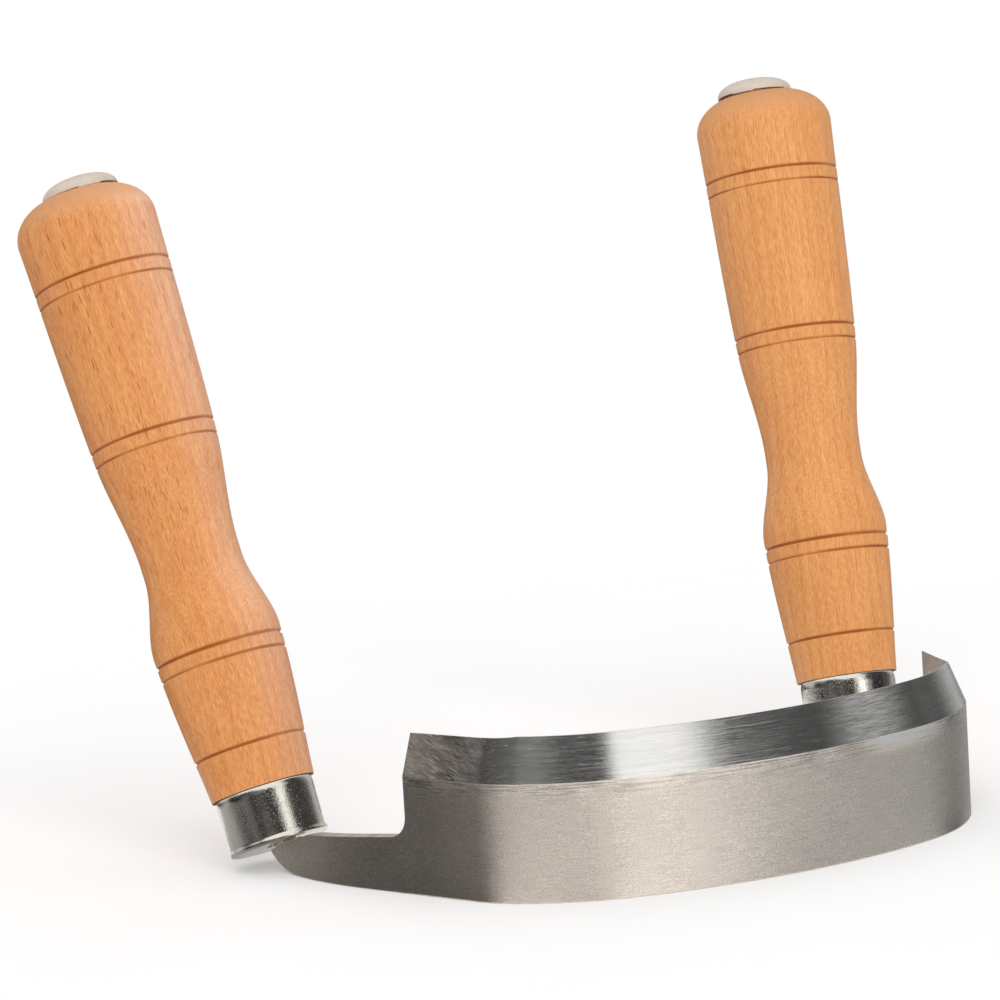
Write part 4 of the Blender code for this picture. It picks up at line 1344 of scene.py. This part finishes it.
class INSHAVE_OT_make_stage(bpy.types.Operator):
    """Sets the camera, lamps, floor and the cards that metal reflects"""

    bl_idname = "inshave.make_stage"
    bl_label = "Make stage"

    def execute(self, context):
        stage = context.scene.inshave.stage
        context.scene.view_settings.view_transform = "Standard"
        self.make_camera(context, stage)
        self.make_floor(stage)
        self.make_light(context, stage)
        self.make_cards(context, stage)
        return {"FINISHED"}

    def make_camera(self, context, stage):
        data = bpy.data.cameras.new("camera")
        data.sensor_width = SENSOR_WIDTH
        data.lens = stage.camera_lens
        camera = new_object("camera", data)
        aim = Vector(stage.camera_aim).normalized()
        down = Vector(stage.camera_down).normalized()
        camera.matrix_world = frame_matrix(down.cross(aim), -down, -aim, Vector(stage.camera_place))
        context.scene.camera = camera

    def make_floor(self, stage):
        bm = bmesh.new()
        bmesh.ops.create_grid(bm, x_segments=FLOOR_SQUARES, y_segments=FLOOR_SQUARES, size=FLOOR_REACH)
        floor = new_object("floor", mesh_from_bmesh("floor", bm))
        material, nodes, shader = new_material("floor")
        paper = nodes.between(nodes.noise(shared_place(nodes), 0.02, detail=3.0), 0.3, 0.7, 0.99, 1.0)
        look = {
            "Base Color": nodes.tint(stage.floor_colour, paper),
            "Roughness": 0.9,
            "Specular IOR Level": 0.0,
            "Emission Color": WHITE,
            "Emission Strength": nodes.product(seen_directly(nodes), stage.floor_glow),
        }
        nodes.fill(shader, look)
        floor.data.materials.append(material)

    def make_light(self, context, stage):
        world = bpy.data.worlds.new("room")
        context.scene.world = world
        world.use_nodes = True
        nodes = Nodes(world.node_tree)
        room = world.node_tree.nodes["Background"]
        strength = nodes.between(seen_directly(nodes), 0.0, 1.0, stage.fill_strength, 1.0)
        nodes.fill(room, {"Color": WHITE, "Strength": strength})
        self.make_lamp("key", stage).visible_glossy = False
        gloss = self.make_lamp("gloss", stage)
        gloss.visible_diffuse = False
        gloss.light_linking.receiver_collection = bpy.data.collections.new(GLOSS_COLLECTION)

    def make_lamp(self, name, stage):
        """A far lamp with a wide face, so that its shadows are soft."""
        data = bpy.data.lights.new(name, "SUN")
        data.energy = getattr(stage, name + "_strength")
        data.angle = getattr(stage, name + "_spread")
        lamp = new_object(name, data)
        turn = math.degrees(getattr(stage, name + "_turn"))
        lamp.location = away(turn, math.degrees(getattr(stage, name + "_height")))
        lamp.rotation_euler = lamp.location.to_track_quat("Z", "Y").to_euler()
        return lamp

    def make_cards(self, context, stage):
        material = card_material(stage.card_level)
        middle = Vector(CARD_MIDDLE)
        room = []
        for turn in CARD_TURNS:
            top = next(height for limit, height in CARD_TOPS if turn < limit)
            heights = [CARD_FOOT + (top - CARD_FOOT) * i / CARD_STEPS for i in range(CARD_STEPS + 1)]
            places = [middle + away(turn, height) * CARD_DISTANCE for height in heights]
            room.append([(place, room_level(turn, height)) for place, height in zip(places, heights)])
        self.fill("room_card", room, material)
        middle.z = CARD_LIFT
        back = [[(middle + away(turn) * edge, BACK_LEVEL) for edge in BACK_EDGES] for turn in BACK_TURNS]
        self.fill("back_card", back, material)
        self.fill("floor_card", self.floor_rows(context.scene.inshave.blade), material)

    def floor_rows(self, blade):
        """Rows of a card on the floor, along the lines in which the blade's face throws the camera's view."""
        plan = half_plan(blade)
        last_turn = math.radians(FRONT_LAST_TURN)
        left = [(-x, y, -turn) for x, y, turn, _ in reversed(plan)]
        right = [(x, y, turn) for x, y, turn, _ in plan[1:] if turn < last_turn]
        x, y, turn = left[0]
        stations = [(x + over, y + back, turn + more, start) for over, back, more, start in TANG_ROWS]
        stations += [(x, y, turn, 0.0) for x, y, turn in left + right]
        rows = []
        for x, y, turn, start in stations:
            aim = 2 * math.degrees(turn) + CAMERA_TURN
            foot = Vector((x, y, CARD_LIFT))
            level = floor_level(aim)
            rows.append([(foot + away(aim) * edge, level) for edge in (start, *FRONT_EDGES)])
        return rows

    def fill(self, name, rows, material):
        """Makes one card from rows of (place, brightness)."""
        bm = bmesh.new()
        glow = bm.verts.layers.float.new("glow")
        made = []
        for row in rows:
            verts = []
            for place, level in row:
                vert = bm.verts.new(place)
                vert[glow] = level
                verts.append(vert)
            made.append(verts)
        for low, high in zip(made, made[1:]):
            skin(bm, low, high, closed=False)
        card = new_object(name, mesh_from_bmesh(name, bm))
        card.data.materials.append(material)
        for kind in ("camera", "diffuse", "transmission", "volume_scatter", "shadow"):
            setattr(card, "visible_" + kind, False)


class INSHAVE_OT_make_blade(bpy.types.Operator):
    """Makes the blade with its bevel, shoulders, tangs and spikes"""

    bl_idname = "inshave.make_blade"
    bl_label = "Make blade"

    def execute(self, context):
        settings = context.scene.inshave
        make_groups()
        sides = both_sides(settings)
        blade = new_object("blade_steel", blade_mesh(settings.blade, sides))
        tools = []
        for side in sides:
            tools.append(new_object(side.name + "_spike", spike_mesh(settings, side)))
            tools.append(new_object(side.name + "_pin", pin_mesh(settings, side), side.cap_frame))
        for tool in tools:
            boolean(blade, tool, "UNION")
        finish = settings.finish
        materials = (
            ground_steel_material(settings.blade, finish),
            bevel_steel_material(finish),
            inner_steel_material(finish),
        )
        for material in materials:
            blade.data.materials.append(material)
        settle(blade, tools)
        smooth(blade.data, crease_degrees=12)
        soften(blade, settings.blade.edge_round, least_degrees=40)
        settle(blade)
        place_piece(blade, (), "blade")
        return {"FINISHED"}


class INSHAVE_OT_make_handles(bpy.types.Operator):
    """Turns the two beech handles with their grooves"""

    bl_idname = "inshave.make_handles"
    bl_label = "Make handles"

    def execute(self, context):
        settings = context.scene.inshave
        make_groups()
        crown = wood_heights(settings)[4]
        rows = handle_rows(settings)
        for side in both_sides(settings):
            name = side.name + "_beech_handle"
            handle = new_object(name, turned_mesh(name, rows, uneven=self.uneven), side.frame)
            smooth(handle.data, crease_degrees=30)
            material = beech_material(settings.finish, side.name, crown)
            place_piece(handle, (material,), side.name + "_handle")
            handle.visible_glossy = False
            if side.name == "left" and GLOSS_COLLECTION in bpy.data.collections:
                bpy.data.collections[GLOSS_COLLECTION].objects.link(handle)
        return {"FINISHED"}

    def uneven(self, turn, height):
        """Share of a groove's depth at one place round the handle."""
        waves = [part * math.sin(count * turn + twist * height) for part, count, twist in GROOVE_WAVES]
        return GROOVE_MEAN + sum(waves)


class INSHAVE_OT_make_ferrules(bpy.types.Operator):
    """Makes the two nickel-plated ferrules"""

    bl_idname = "inshave.make_ferrules"
    bl_label = "Make ferrules"

    def execute(self, context):
        settings = context.scene.inshave
        make_groups()
        material = nickel_material(
            "ferrule_nickel", settings.finish.ferrule_nickel, roughness=0.1, metallic=1.0
        )
        for side in both_sides(settings):
            name = side.name + "_nickel_ferrule"
            mesh = turned_mesh(name, ferrule_rows(settings), closed=False)
            ferrule = new_object(name, mesh, side.frame)
            offset = -spike_outward(settings, side) * settings.blade.spike_eccentric
            hole = new_object(name + "_hole", ferrule_hole_mesh(settings, name + "_hole"))
            hole.matrix_world = Matrix.Translation(offset) @ side.frame
            boolean(ferrule, hole, "DIFFERENCE")
            settle(ferrule, [hole])
            smooth(ferrule.data, crease_degrees=40)
            place_piece(ferrule, (material,), side.name + "_ferrule")
        return {"FINISHED"}


class INSHAVE_OT_make_end_caps(bpy.types.Operator):
    """Makes the two domed end caps"""

    bl_idname = "inshave.make_end_caps"
    bl_label = "Make end caps"

    def execute(self, context):
        settings = context.scene.inshave
        make_groups()
        satin = nickel_material("cap_nickel", settings.finish.cap_nickel, roughness=0.5, metallic=0.08)
        for side in both_sides(settings):
            name = side.name + "_nickel_cap"
            mesh = turned_mesh(name, cap_rows(settings), closed=False)
            cap = new_object(name, mesh, side.cap_frame)
            notch = new_object(name + "_notch", notch_mesh(settings, name + "_notch"), side.cap_frame)
            boolean(cap, notch, "DIFFERENCE")
            cap.data.materials.append(satin)
            settle(cap, [notch])
            smooth(cap.data, crease_degrees=35)
            soften(cap, settings.fitting.cap_edge_round, least_degrees=50)
            settle(cap)
            place_piece(cap, (), side.name + "_end_cap")
        return {"FINISHED"}


class INSHAVE_OT_finish_lock_rings(bpy.types.Operator):
    """Finishes the toothed rings inside the end caps"""

    bl_idname = "inshave.finish_lock_rings"
    bl_label = "Finish lock rings"

    def execute(self, context):
        settings = context.scene.inshave
        make_groups()
        spring = nickel_material("spring_steel", settings.finish.spring_steel, roughness=0.4, metallic=1.0)
        for side in both_sides(settings):
            ring = frame_node(side.name + "_lock_ring")
            ring.data.materials.clear()
            ring.data.materials.append(spring)
        return {"FINISHED"}


class INSHAVE_PT_tool(bpy.types.Panel):
    """Lists the pieces of the inshave and their settings"""

    bl_idname = "INSHAVE_PT_tool"
    bl_label = "Inshave"
    bl_space_type = "VIEW_3D"
    bl_region_type = "UI"
    bl_category = "Inshave"

    def draw(self, context):
        settings = context.scene.inshave
        for operator in OPERATORS:
            self.layout.operator(operator.bl_idname)
        for part in ("blade", "handle", "fitting", "finish", "stage"):
            box = self.layout.box()
            box.label(text=part.capitalize())
            group = getattr(settings, part)
            for name in group.__annotations__:
                box.prop(group, name)


OPERATORS = (
    INSHAVE_OT_make_stage,
    INSHAVE_OT_make_blade,
    INSHAVE_OT_make_handles,
    INSHAVE_OT_make_ferrules,
    INSHAVE_OT_make_end_caps,
    INSHAVE_OT_finish_lock_rings,
)
CLASSES = (
    InshaveBladeSizes,
    InshaveHandleSizes,
    InshaveFittingSizes,
    InshaveFinishes,
    InshaveStageSettings,
    InshaveSettings,
    *OPERATORS,
    INSHAVE_PT_tool,
)


def register():
    for kind in CLASSES:
        bpy.utils.register_class(kind)
    bpy.types.Scene.inshave = bpy.props.PointerProperty(type=InshaveSettings)


def unregister():
    del bpy.types.Scene.inshave
    for kind in reversed(CLASSES):
        bpy.utils.unregister_class(kind)


def main():
    register()
    bpy.ops.inshave.make_stage()
    bpy.ops.inshave.make_blade()
    bpy.ops.inshave.make_handles()
    bpy.ops.inshave.make_ferrules()
    bpy.ops.inshave.make_end_caps()
    bpy.ops.inshave.finish_lock_rings()


if __name__ == "__main__":
    main()
